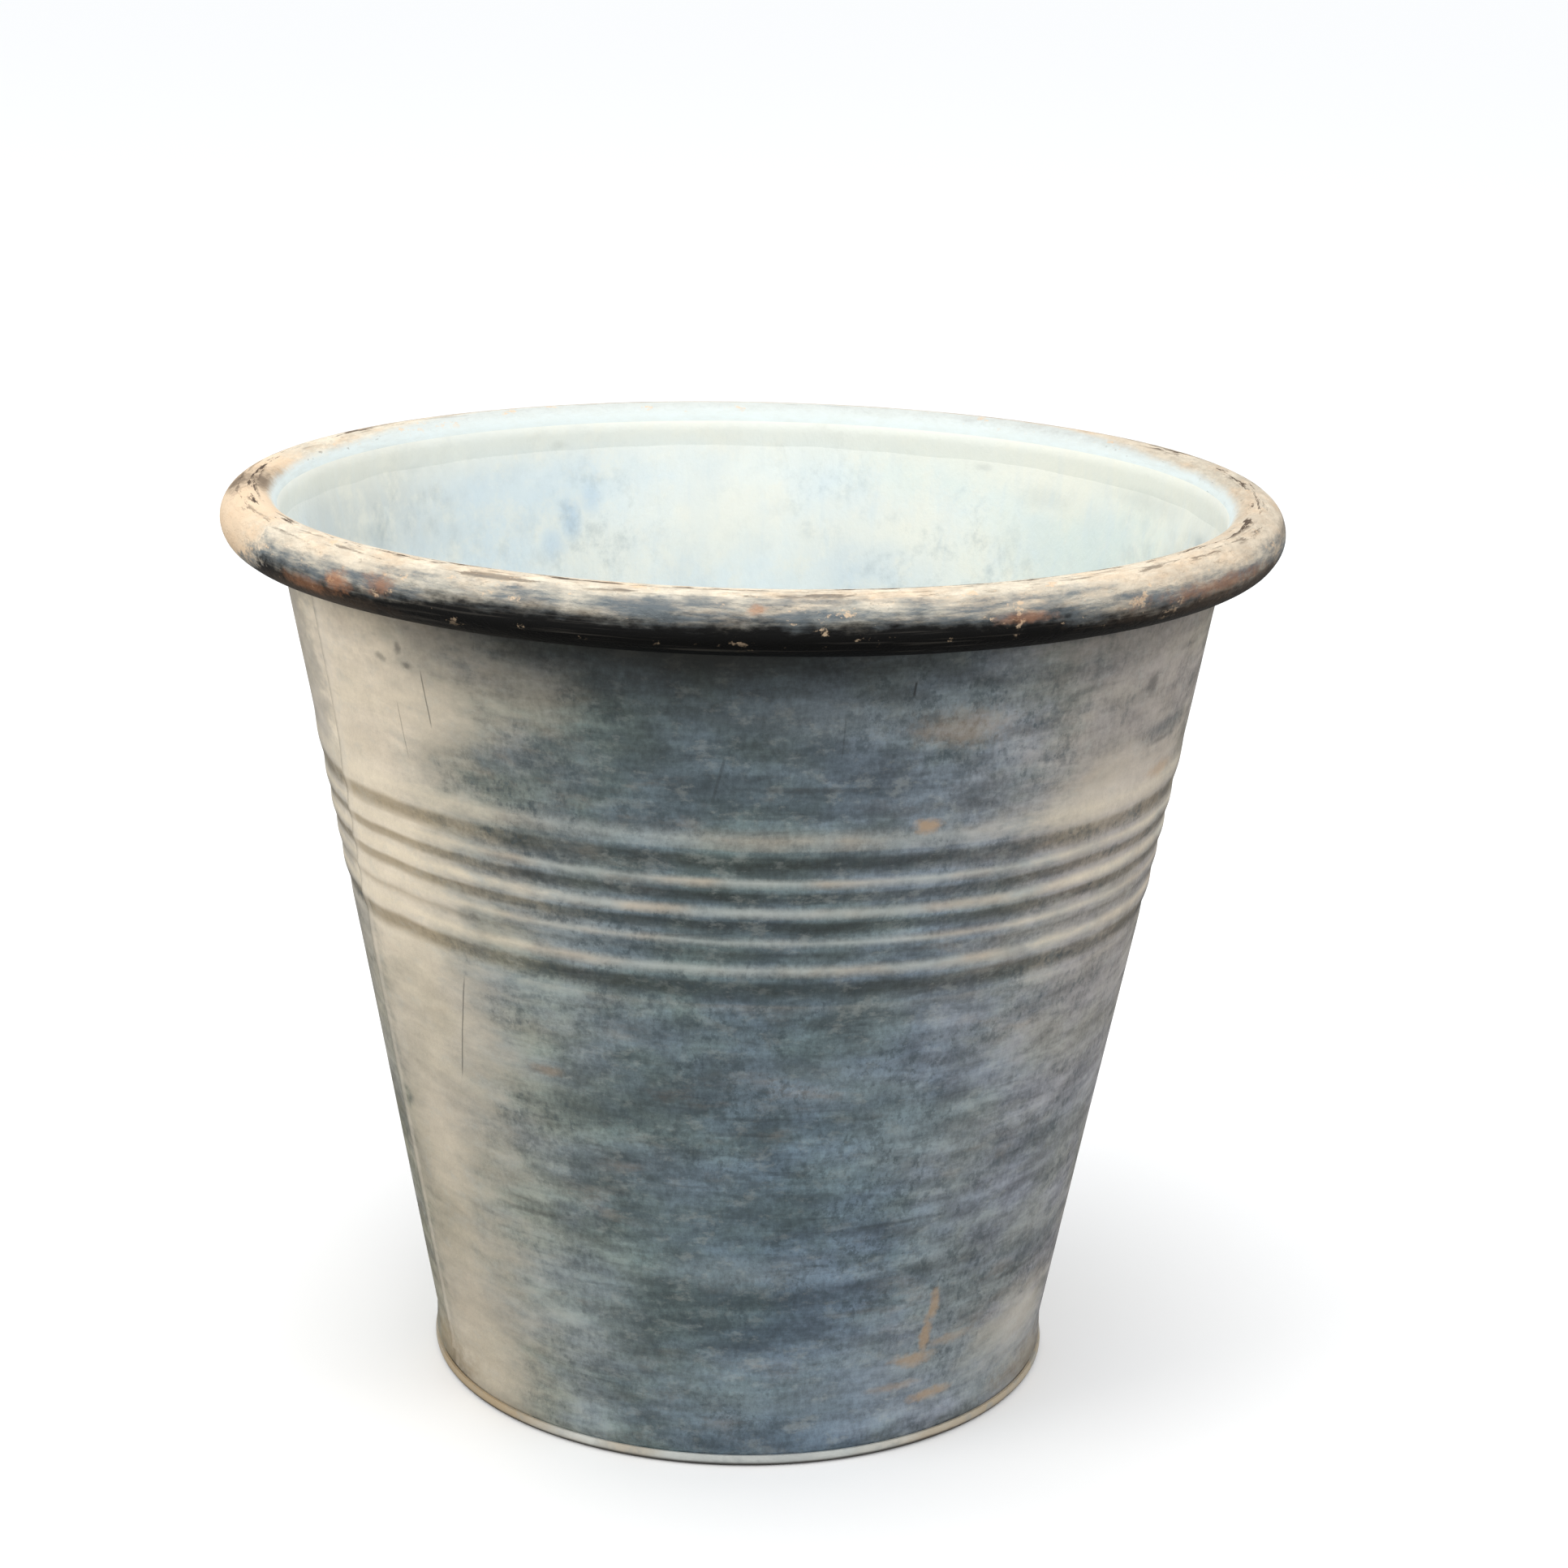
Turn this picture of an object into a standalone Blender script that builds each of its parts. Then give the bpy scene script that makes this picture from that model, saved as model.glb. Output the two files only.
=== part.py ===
"""Florist bucket: a tapered sheet-metal pail with five swaged rings, a rolled rim and a crimped base.

World frame: +Z is the bucket's axis, the feet stand on z = 0, metres.
"""

import math

import bmesh
import bpy
from mathutils import Vector

MM = 0.001

# Overall sizes
RIM_RADIUS = 140.0 * MM
HEIGHT = 243.6 * MM
SHEET = 0.8 * MM
FIT_GAP = 0.3 * MM
SEGMENTS = 60
MERGE_DISTANCE = 0.02 * MM

# Rolled rim
ROLL_RADIUS = 7.8 * MM
ROLL_LIP_ANGLE = math.radians(184.0)
ROLL_UNDER_ANGLE = math.radians(-143.5)
ROLL_STEPS = 14
WIRE_RADIUS = 4.0 * MM
WIRE_SIDES = 8
WIRE_OFFSET = 0.2 * MM
WIRE_CLEARANCE = 0.4 * MM

# Tapered wall: outer radius of the straight cone at its two ends
CONE_FOOT_RADIUS = 85.1 * MM
CONE_FOOT_Z = 11.9 * MM
CONE_TOP_RADIUS = 124.65 * MM
CONE_TOP_Z = 227.6 * MM
WALL_TOP_Z = CONE_TOP_Z + 2.4 * MM
WALL_UPPER_Z = CONE_TOP_Z - 1.6 * MM
WALL_LOWER_Z = CONE_FOOT_Z + 3.0 * MM

# Five swaged rings from the top: height and relief in mm of each crest and of the hollows beside it
RING_KNOTS = (
    (183.0, 0.0),
    (176.0, 0.7),
    (171.0, 0.1),
    (166.0, 0.7),
    (162.0, 0.1),
    (158.0, 0.7),
    (154.2, 0.1),
    (150.3, 0.6),
    (146.8, 0.2),
    (141.8, 0.7),
    (136.8, -0.2),
    (132.5, 0.0),
)

# Lap seam of the wall
SEAM_ANGLE = math.radians(204.0)
LAP_ANGLE = math.radians(4.0)
BUTT_ANGLE = math.radians(0.25)
JOGGLE_ANGLES = (math.radians(12.0), math.radians(9.0), math.radians(6.5))
JOGGLE_SHARE = (0.0, 0.32, 0.8)
LAP_STEP = SHEET + FIT_GAP
LAP_FADE = 4.0 * MM

# Solder run inside the lap seam
SOLDER_ANGLE = math.radians(4.0)
SOLDER_LOW_Z = CONE_FOOT_Z + 2.0 * MM
SOLDER_HIGH_Z = CONE_TOP_Z - 1.0 * MM
SOLDER_FEATHER = 0.15 * MM
SOLDER_CROWN_PLACE = 0.6
SOLDER_CROWN_DEPTH = 0.3

# Foot: the pan's flange folds round the wall's lower edge
FOOT_BAND_Z = CONE_FOOT_Z - 0.9 * MM
WALL_EDGE_Z = 1.3 * MM
TUCK = 0.7 * MM
TUCK_LOW_Z = 5.7 * MM
TUCK_HIGH_Z = 6.6 * MM
LAP_LOW_Z = 9.6 * MM
PAN_TOP_Z = 11.8 * MM
PAN_BEND = 1.3 * MM
PAN_BEND_SHARE = 0.3
LIP_TOP_Z = 5.2 * MM
FOLD_CORNER = 0.6 * MM
FOLD_RISE = 0.72 * MM

# Solder fillet round the pan: reach inwards over the pan, rise up the wall, depth into the crevice
FILLET_REACH = 1.35 * MM
FILLET_RISE = 2.9 * MM
FILLET_DEPTH = 3.6 * MM
FILLET_NECK = 1.2 * MM
FILLET_EDGE = 0.35 * MM
FILLET_HOLLOW = (0.4 * MM, 1.0 * MM)

# Top edge of the wall, hooked inside the roll
HOOK_WIDTH = 7.0 * MM
HOOK_TURN_RISE = 1.0 * MM
HOOK_BEND_R = 1.2 * MM
HOOK_BEND_Z = 1.9 * MM
HOOK_BEND_SHARES = (0.33, 0.63)

ZINC = (0.42, 0.48, 0.50, 1.0)
RIM_PAINT = (0.10, 0.10, 0.11, 1.0)
SOLDER = (0.62, 0.63, 0.62, 1.0)
STEEL = (0.35, 0.33, 0.31, 1.0)


def clear_scene():
    """Removes every object of the startup scene."""
    for obj in list(bpy.data.objects):
        bpy.data.objects.remove(obj, do_unlink=True)


def make_material(name, color, metallic, roughness):
    """One plain Principled BSDF material."""
    material = bpy.data.materials.new(name)
    material.use_nodes = True
    shader = material.node_tree.nodes["Principled BSDF"]
    shader.inputs["Base Color"].default_value = color
    shader.inputs["Metallic"].default_value = metallic
    shader.inputs["Roughness"].default_value = roughness
    return material


def cone_middle(z):
    """Radius of the middle of the wall's sheet on the straight cone at height z."""
    slope = (CONE_TOP_RADIUS - CONE_FOOT_RADIUS) / (CONE_TOP_Z - CONE_FOOT_Z)
    half = SHEET / 2 * math.sqrt(1 + slope * slope)
    return CONE_FOOT_RADIUS + slope * (z - CONE_FOOT_Z) - half


def ring_path():
    """The middle of the sheet down through the swaged rings: each knot and a point halfway to the next."""
    path = []
    for above, below in zip(RING_KNOTS, RING_KNOTS[1:]):
        halfway = ((above[0] + below[0]) / 2, (above[1] + below[1]) / 2)
        for z, relief in (above, halfway):
            path.append((cone_middle(z * MM) + relief * MM, z * MM))
    last_z = RING_KNOTS[-1][0] * MM
    return [*path, (cone_middle(last_z), last_z)]


def sides_of(path, thickness):
    """The two faces of a sheet whose middle follows path, as (r, z): left of travel, right of travel."""
    left = []
    right = []
    for i, here in enumerate(path):
        before = path[max(i - 1, 0)]
        after = path[min(i + 1, len(path) - 1)]
        first = Vector((here[0] - before[0], here[1] - before[1])) if i else None
        second = Vector((after[0] - here[0], after[1] - here[1])) if i < len(path) - 1 else None
        first = (first or second).normalized()
        second = (second or first).normalized()
        normals = [Vector((-d.y, d.x)) for d in (first, second)]
        mitre = (normals[0] + normals[1]).normalized()
        reach = thickness / 2 / mitre.dot(normals[0])
        left.append((here[0] + mitre.x * reach, here[1] + mitre.y * reach))
        right.append((here[0] - mitre.x * reach, here[1] - mitre.y * reach))
    return left, right


def turned(name, profile, material, closed=True):
    """Turns a profile of (r, z) points round +Z. It runs down the outer side, top to bottom."""
    mesh = bpy.data.meshes.new(name)
    edges = [(i, i + 1) for i in range(len(profile) - 1)]
    if closed:
        edges.append((len(profile) - 1, 0))
    mesh.from_pydata([(r, 0.0, z) for r, z in profile], edges, [])
    obj = bpy.data.objects.new(name, mesh)
    BUCKET.objects.link(obj)
    screw = obj.modifiers.new("Turn", "SCREW")
    screw.axis = "Z"
    screw.angle = 2 * math.pi
    screw.steps = SEGMENTS
    screw.render_steps = SEGMENTS
    screw.use_merge_vertices = True
    screw.merge_threshold = MERGE_DISTANCE
    screw.use_smooth_shade = True
    mesh.materials.append(material)
    return obj


def mesh_object(name, shape, material):
    """Makes an object of a bmesh whose faces turn outwards."""
    bmesh.ops.recalc_face_normals(shape, faces=shape.faces)
    mesh = bpy.data.meshes.new(name)
    shape.to_mesh(mesh)
    shape.free()
    mesh.materials.append(material)
    obj = bpy.data.objects.new(name, mesh)
    BUCKET.objects.link(obj)
    return obj


def wall_path():
    """The middle of the wall's sheet, as (r, z), from the hook in the roll down to the lower edge."""
    roll_middle_z = HEIGHT - ROLL_RADIUS
    turn_z = roll_middle_z + HOOK_TURN_RISE
    turn_r = cone_middle(turn_z)
    path = [
        (turn_r + HOOK_BEND_R + HOOK_WIDTH, turn_z + HOOK_BEND_Z),
        (turn_r + HOOK_BEND_R, turn_z + HOOK_BEND_Z),
        (turn_r + HOOK_BEND_SHARES[0] * HOOK_BEND_R, turn_z + HOOK_BEND_SHARES[1] * HOOK_BEND_Z),
        (turn_r, turn_z),
        (cone_middle(WALL_TOP_Z), WALL_TOP_Z),
        (cone_middle(WALL_UPPER_Z), WALL_UPPER_Z),
    ]
    path += ring_path()
    band_r = CONE_FOOT_RADIUS - SHEET / 2
    path += [
        (cone_middle(WALL_LOWER_Z), WALL_LOWER_Z),
        (band_r, FOOT_BAND_Z),
        (band_r, LAP_LOW_Z),
        (band_r, TUCK_HIGH_Z),
        (band_r - TUCK, TUCK_LOW_Z),
        (band_r - TUCK, WALL_EDGE_Z),
    ]
    return path


def wall_stations():
    """(angle, share of the lap step) along the sheet, from its inner edge round to its outer edge."""
    inner_edge = SEAM_ANGLE + LAP_ANGLE
    stations = [(inner_edge, 0.0), (SEAM_ANGLE, 0.0)]
    step = 2 * math.pi / SEGMENTS
    end = SEAM_ANGLE - 2 * math.pi + JOGGLE_ANGLES[0]
    angle = SEAM_ANGLE - step
    while angle > end + step / 2:
        stations.append((angle, 0.0))
        angle -= step
    for before_edge, share in zip(JOGGLE_ANGLES, JOGGLE_SHARE):
        stations.append((SEAM_ANGLE - 2 * math.pi + before_edge, share))
    stations.append((inner_edge - 2 * math.pi + BUTT_ANGLE, 1.0))
    return stations


def lap_fade(z):
    """The lap's share of its full step at height z: none inside the roll or the crimped foot."""
    low = (z - TUCK_HIGH_Z) / (LAP_LOW_Z - TUCK_HIGH_Z)
    high = (WALL_TOP_Z - z) / LAP_FADE
    return max(0.0, min(1.0, low, high))


def add_loop(shape, outline, angle, step):
    """Adds one station of the sheet: points (r, z, fade) turned to angle and moved out by step."""
    cosine = math.cos(angle)
    sine = math.sin(angle)
    loop = []
    for r, z, fade in outline:
        radius = r + step * fade
        loop.append(shape.verts.new((radius * cosine, radius * sine, z)))
    return loop


def build_side_wall(material):
    """The one-piece wall sheet, wrapped once round and lapped over its own edge with an outward joggle.

    A turned profile cannot step over itself, so the sheet is lofted station by station. Only the straight
    part of the wall laps: the corners of the outer edge are notched clear of the roll and of the foot.
    """
    path = wall_path()
    outer, inner = sides_of(path, SHEET)
    count = len(path)
    heights = [z for _, z in path]
    fades = [lap_fade(z) for z in heights]
    outline = [(r, z, f) for (r, z), f in zip(outer, fades)]
    outline += [(r, z, f) for (r, z), f in zip(reversed(inner), reversed(fades))]
    shape = bmesh.new()
    loops = [add_loop(shape, outline, angle, share * LAP_STEP) for angle, share in wall_stations()]
    total = len(outline)
    for one, two in zip(loops, loops[1:]):
        for i in range(total):
            j = (i + 1) % total
            shape.faces.new((one[i], one[j], two[j], two[i]))
    for i in range(count - 1):
        j = total - 1 - i
        shape.faces.new((loops[0][i], loops[0][i + 1], loops[0][j - 1], loops[0][j]))
    first = next(i for i, f in enumerate(fades) if f >= 1.0)
    last = max(i for i, f in enumerate(fades) if f >= 1.0)
    end_loop = loops[-1]
    for i in list(range(first)) + list(range(last, count - 1)):
        j = total - 1 - i
        shape.faces.new((end_loop[i], end_loop[i + 1], end_loop[j - 1], end_loop[j]))
    lap_outline = outline[first : last + 1] + outline[total - 1 - last : total - first]
    lap = add_loop(shape, lap_outline, SEAM_ANGLE - 2 * math.pi, LAP_STEP)
    root = end_loop[first : last + 1] + end_loop[total - 1 - last : total - first]
    lap_total = len(lap)
    for i in range(lap_total):
        j = (i + 1) % lap_total
        shape.faces.new((root[i], root[j], lap[j], lap[i]))
    for i in range(last - first):
        j = lap_total - 1 - i
        shape.faces.new((lap[i], lap[i + 1], lap[j - 1], lap[j]))
    return mesh_object("side_wall", shape, material)


def build_seam_solder(material):
    """The solder run that fills the joggle inside, along the hidden edge of the lap."""
    path = [p for p in wall_path() if SOLDER_LOW_Z < p[1] < SOLDER_HIGH_Z]
    inner = sides_of(path, SHEET)[1]
    start = SEAM_ANGLE + LAP_ANGLE - 2 * math.pi + 2 * BUTT_ANGLE
    deep = LAP_STEP - FIT_GAP
    shape = bmesh.new()
    loops = []
    for r, z in inner:
        corners = [(start, deep), (start, 0.0), (start + SOLDER_ANGLE, -SOLDER_FEATHER)]
        corners.append((start + SOLDER_CROWN_PLACE * SOLDER_ANGLE, SOLDER_CROWN_DEPTH * deep))
        loops.append(
            [shape.verts.new(((r + d) * math.cos(a), (r + d) * math.sin(a), z)) for a, d in corners]
        )
    for one, two in zip(loops, loops[1:]):
        for i in range(4):
            j = (i + 1) % 4
            shape.faces.new((one[i], one[j], two[j], two[i]))
    shape.faces.new(loops[0])
    shape.faces.new(loops[-1])
    return mesh_object("seam_solder", shape, material)


def build_rim_roll(material):
    """The rolled rim: a slotted round section with its lip inside the wall and its underside outside."""
    middle_r = RIM_RADIUS - ROLL_RADIUS
    middle_z = HEIGHT - ROLL_RADIUS
    middle = ROLL_RADIUS - SHEET / 2
    path = []
    for i in range(ROLL_STEPS + 1):
        angle = ROLL_LIP_ANGLE + (ROLL_UNDER_ANGLE - ROLL_LIP_ANGLE) * i / ROLL_STEPS
        path.append((middle_r + middle * math.cos(angle), middle_z + middle * math.sin(angle)))
    outer, inner = sides_of(path, SHEET)
    return turned("rim_roll", outer + inner[::-1], material)


def build_rim_wire(material):
    """The stiffening hoop that lies in the bottom of the roll, under the wall's hooked edge."""
    middle_r = RIM_RADIUS - ROLL_RADIUS + WIRE_OFFSET
    middle_z = HEIGHT - 2 * ROLL_RADIUS + SHEET + WIRE_CLEARANCE + WIRE_RADIUS
    profile = []
    for i in range(WIRE_SIDES):
        angle = -2 * math.pi * (i + 0.5) / WIRE_SIDES
        profile.append((middle_r + WIRE_RADIUS * math.cos(angle), middle_z + WIRE_RADIUS * math.sin(angle)))
    return turned("rim_wire", profile, material)


def build_bottom_pan(material):
    """The base: a raised disc whose flange turns down, folds under the wall's edge and up outside it."""
    wall_r = CONE_FOOT_RADIUS - SHEET / 2 - TUCK
    flange_r = wall_r - SHEET - FIT_GAP
    lip_r = wall_r + SHEET + FIT_GAP
    disc_z = PAN_TOP_Z - SHEET / 2
    fold_z = SHEET / 2
    path = [
        (0.0, disc_z),
        (flange_r - PAN_BEND, disc_z),
        (flange_r - PAN_BEND_SHARE * PAN_BEND, disc_z - PAN_BEND_SHARE * PAN_BEND),
        (flange_r, disc_z - PAN_BEND),
        (flange_r, fold_z + FOLD_RISE),
        (flange_r + FOLD_CORNER, fold_z),
        (lip_r - FOLD_CORNER, fold_z),
        (lip_r, fold_z + FOLD_RISE),
        (lip_r, LIP_TOP_Z),
    ]
    left, right = sides_of(path, SHEET)
    return turned("bottom_pan", left + right[::-1], material, closed=False)


def build_base_solder(material):
    """The solder fillet that seals the pan to the wall all round, inside."""
    flange_out = CONE_FOOT_RADIUS - SHEET - TUCK - FIT_GAP
    wall_in = CONE_FOOT_RADIUS - SHEET
    top = PAN_TOP_Z + FIT_GAP
    root_r = flange_out + FIT_GAP
    profile = [
        (wall_in - FILLET_EDGE, top + FILLET_RISE),
        (wall_in - FIT_GAP, top),
        (wall_in - FIT_GAP, top - FILLET_DEPTH),
        (root_r, top - FILLET_DEPTH),
        (root_r, top - FILLET_NECK),
        (flange_out - FILLET_REACH / 2, top),
        (flange_out - FILLET_REACH, top),
        (flange_out - FILLET_HOLLOW[0], top + FILLET_HOLLOW[1]),
    ]
    return turned("base_solder", profile, material)


clear_scene()
BUCKET = bpy.data.collections.new("florist_bucket")
bpy.context.scene.collection.children.link(BUCKET)

build_side_wall(make_material("wall_zinc", ZINC, 0.7, 0.55))
build_seam_solder(make_material("seam_solder", SOLDER, 0.8, 0.5))
build_rim_roll(make_material("rim_paint", RIM_PAINT, 0.0, 0.6))
build_rim_wire(make_material("wire_steel", STEEL, 0.9, 0.5))
build_bottom_pan(make_material("pan_zinc", ZINC, 0.7, 0.55))
build_base_solder(make_material("base_solder", SOLDER, 0.8, 0.5))
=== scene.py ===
"""Florist bucket: weathered zinc pail with a painted rolled rim, dressed on a pale studio floor.

Every length is in metres unless a name ends in _mm. Places on the bucket are given by turn, in degrees
from the front round to the right, and by height above the floor in mm.
"""

import logging  # noqa: E402
import math  # noqa: E402
from collections.abc import Sequence  # noqa: E402
from dataclasses import dataclass, field  # noqa: E402
from enum import Enum  # noqa: E402

import bpy  # noqa: E402
import numpy as np  # noqa: E402
from mathutils import Matrix, Vector, noise  # noqa: E402


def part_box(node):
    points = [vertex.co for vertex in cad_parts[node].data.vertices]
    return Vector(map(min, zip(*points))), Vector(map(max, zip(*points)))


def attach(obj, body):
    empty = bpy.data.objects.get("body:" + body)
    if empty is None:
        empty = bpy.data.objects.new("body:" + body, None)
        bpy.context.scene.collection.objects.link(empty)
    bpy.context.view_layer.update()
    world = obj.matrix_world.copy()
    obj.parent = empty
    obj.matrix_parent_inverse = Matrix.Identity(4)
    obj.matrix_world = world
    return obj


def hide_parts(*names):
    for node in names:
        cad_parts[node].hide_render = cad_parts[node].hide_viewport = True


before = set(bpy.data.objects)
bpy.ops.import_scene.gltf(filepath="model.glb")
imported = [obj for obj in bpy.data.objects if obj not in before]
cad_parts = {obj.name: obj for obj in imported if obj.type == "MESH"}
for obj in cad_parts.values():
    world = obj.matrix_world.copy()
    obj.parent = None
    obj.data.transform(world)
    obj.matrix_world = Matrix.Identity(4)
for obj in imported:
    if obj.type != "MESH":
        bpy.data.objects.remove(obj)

LOG = logging.getLogger("florist_bucket")
MM = 0.001
BODY = "root"

Node = bpy.types.Node
NodeTree = bpy.types.NodeTree
Socket = bpy.types.NodeSocket
Material = bpy.types.Material
Object = bpy.types.Object
Tone = tuple[int, int, int]
Color = tuple[float, float, float, float]
Point = tuple[float, float, float]
Spot = tuple[float, float]
Face = tuple[int, ...]
Input = Socket | float | tuple[float, ...]
Inputs = dict[str | int, Input]
# Where a smooth step starts and ends and, if not 0 and 1, what it gives there
Step = tuple[float, ...]


class Slot(Enum):
    """Material slot names for the new pieces; nothing in this script uses them."""

    WALL = "wall_zinc"
    PAN = "pan_zinc"
    RIM = "rim_paint"
    SOLDER = "solder"


class Blend(Enum):
    """How one colour layer goes over another."""

    OVER = "MIX"
    DARKEN = "MULTIPLY"


def linear(tone: Tone) -> Color:
    """Turns a display tone into the linear colour that a shader takes.

    Args:
        tone: Red, green and blue from 0 to 255.

    Returns:
        Linear red, green, blue and an alpha of 1.
    """
    shares = [value / 255 for value in tone]
    red, green, blue = (s / 12.92 if s <= 0.04045 else ((s + 0.055) / 1.055) ** 2.4 for s in shares)
    return red, green, blue, 1.0


# ---- Node building ----


class Graph:
    """Adds nodes to one node tree and joins them."""

    def __init__(self, tree: NodeTree) -> None:
        """Takes the tree that the nodes go into."""
        self.tree = tree

    def feed(self, socket: Socket, value: Input) -> None:
        """Joins another node's output to a socket, or sets the socket's own value.

        Args:
            socket: The input to fill.
            value: An output socket, a number or a vector.
        """
        if isinstance(value, Socket):
            self.tree.links.new(value, socket)
        else:
            socket.default_value = value

    def add(self, kind: str, inputs: Inputs | None = None, **settings: object) -> Node:
        """Adds one node.

        Args:
            kind: Blender's name of the node type.
            inputs: Values or outputs by input name or number.
            **settings: Properties of the node itself.

        Returns:
            The new node.
        """
        node = self.tree.nodes.new(kind)
        for name, value in settings.items():
            setattr(node, name, value)
        for key, value in (inputs or {}).items():
            self.feed(node.inputs[key], value)
        return node

    def math(self, operation: str, first: Input, second: Input = 0.0, third: Input = 0.0) -> Socket:
        """One arithmetic step.

        Args:
            operation: Blender's name of the operation.
            first: First value.
            second: Second value.
            third: Third value.

        Returns:
            The result.
        """
        node = self.add("ShaderNodeMath", {0: first, 1: second}, operation=operation)
        if len(node.inputs) > 2:
            self.feed(node.inputs[2], third)
        return node.outputs[0]

    def times(self, first: Input, second: Input) -> Socket:
        """The product of two values."""
        return self.math("MULTIPLY", first, second)

    def plus(self, first: Input, second: Input) -> Socket:
        """The sum of two values."""
        return self.math("ADD", first, second)

    def minus(self, first: Input, second: Input) -> Socket:
        """The first value less the second."""
        return self.math("SUBTRACT", first, second)

    def over(self, first: Input, second: Input) -> Socket:
        """The first value divided by the second."""
        return self.math("DIVIDE", first, second)

    def fused(self, first: Input, factor: Input, added: Input) -> Socket:
        """A value times a factor, plus what is added."""
        return self.math("MULTIPLY_ADD", first, factor, added)

    def apart(self, first: Input, second: Input) -> Socket:
        """How far two values lie apart."""
        return self.math("ABSOLUTE", self.minus(first, second))

    def bright(self, color: Input) -> Socket:
        """How bright a colour is."""
        return self.add("ShaderNodeRGBToBW", {0: color}).outputs[0]

    def span(
        self, value: Input, low: float, high: float, to_low: float = 0.0, to_high: float = 1.0
    ) -> Socket:
        """Maps a value from one range to another along a smooth curve, held at the ends.

        Args:
            value: The value to map.
            low: Where the new range starts.
            high: Where it ends.
            to_low: Result at low.
            to_high: Result at high.

        Returns:
            The mapped value.
        """
        inputs = {0: value, 1: low, 2: high, 3: to_low, 4: to_high}
        return self.add("ShaderNodeMapRange", inputs, interpolation_type="SMOOTHSTEP").outputs[0]

    def layer(self, under: Input, over: Input, share: Input, blend: Blend = Blend.OVER) -> Socket:
        """Lays one colour over another.

        Args:
            under: The colour below.
            over: The colour above.
            share: How much of the upper one shows.
            blend: How the two are put together.

        Returns:
            The mixed colour.
        """
        inputs = {0: share, 6: under, 7: over}
        return self.add("ShaderNodeMix", inputs, data_type="RGBA", blend_type=blend.value).outputs[2]

    def tint(self, under: Input, tone: Tone, share: Input, blend: Blend = Blend.OVER) -> Socket:
        """Lays a display tone over a colour."""
        return self.layer(under, linear(tone), share, blend)

    def ramp(self, share: Input, stops: Sequence[tuple[float, tuple[float, ...]]]) -> Socket:
        """Turns a value into a colour by stops.

        Args:
            share: The value, from 0 to 1.
            stops: Places from 0 to 1 with their linear colours.

        Returns:
            The colour.
        """
        node = self.add("ShaderNodeValToRGB", {0: share})
        elements = node.color_ramp.elements
        for place, color in stops[1:-1]:
            elements.new(place).color = color
        for element, (place, color) in ((elements[0], stops[0]), (elements[-1], stops[-1])):
            element.position = place
            element.color = color
        return node.outputs[0]

    def grey(self, value: Input) -> Socket:
        """A grey whose three channels are one value."""
        return self.add("ShaderNodeCombineColor", {0: value, 1: value, 2: value}).outputs[0]

    def effect(self, tree: NodeTree, inputs: Inputs | None = None) -> Node:
        """Places a shader node group.

        Args:
            tree: The group.
            inputs: Its inputs by name.

        Returns:
            The group node.
        """
        node = self.add("ShaderNodeGroup", node_tree=tree)
        for key, value in (inputs or {}).items():
            self.feed(node.inputs[key], value)
        return node


def kind_of(label: str) -> str:
    """The socket type behind a label: a vector for a point, a float for all else."""
    return "NodeSocketVector" if label in ("Point", "Unrolled") else "NodeSocketFloat"


def new_effect(
    name: str, inputs: dict[str, Input], outputs: Sequence[str]
) -> tuple[Graph, dict[str, Socket], Node]:
    """Starts a shader node group with named float inputs and outputs.

    Args:
        name: The group's name.
        inputs: Input names with their usual values.
        outputs: Output names.

    Returns:
        A graph inside the group, its input values by name and its output node.
    """
    tree = bpy.data.node_groups.new(name, "ShaderNodeTree")
    for label, usual in inputs.items():
        socket = tree.interface.new_socket(name=label, in_out="INPUT", socket_type=kind_of(label))
        socket.default_value = usual
    for label in outputs:
        tree.interface.new_socket(name=label, in_out="OUTPUT", socket_type=kind_of(label))
    graph = Graph(tree)
    entry = graph.add("NodeGroupInput")
    leave = graph.add("NodeGroupOutput")
    return graph, {label: entry.outputs[label] for label in inputs}, leave


# ---- Effects shared by the finishes ----


@dataclass(frozen=True)
class Grain:
    """A noise cut to a mask: changes per metre round and up, its two levels, which noise, its octaves."""

    around: float
    up: float
    low: float
    high: float
    seed: float
    detail: float = 3.0
    roughness: float = 0.5


@dataclass(frozen=True)
class Fray:
    """A value about 0 that moves an edge: changes per metre round and up, which noise, how far it moves."""

    around: float
    up: float
    seed: float
    amount: float
    detail: float = 4.0
    roughness: float = 0.6


@dataclass(frozen=True)
class Stain:
    """One patch on the wall, round which the tone changes."""

    turn: float
    height: float
    half_turn: float
    half_height: float
    strength: float = 1.0
    edge: float = 0.5


@dataclass(frozen=True)
class Hairline:
    """One thin scratch that runs up the wall, or along it if flat."""

    turn: float
    height: float
    half_height: float
    lean: float = 0.0
    half_width: float = 0.25
    strength: float = 0.8


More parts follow.
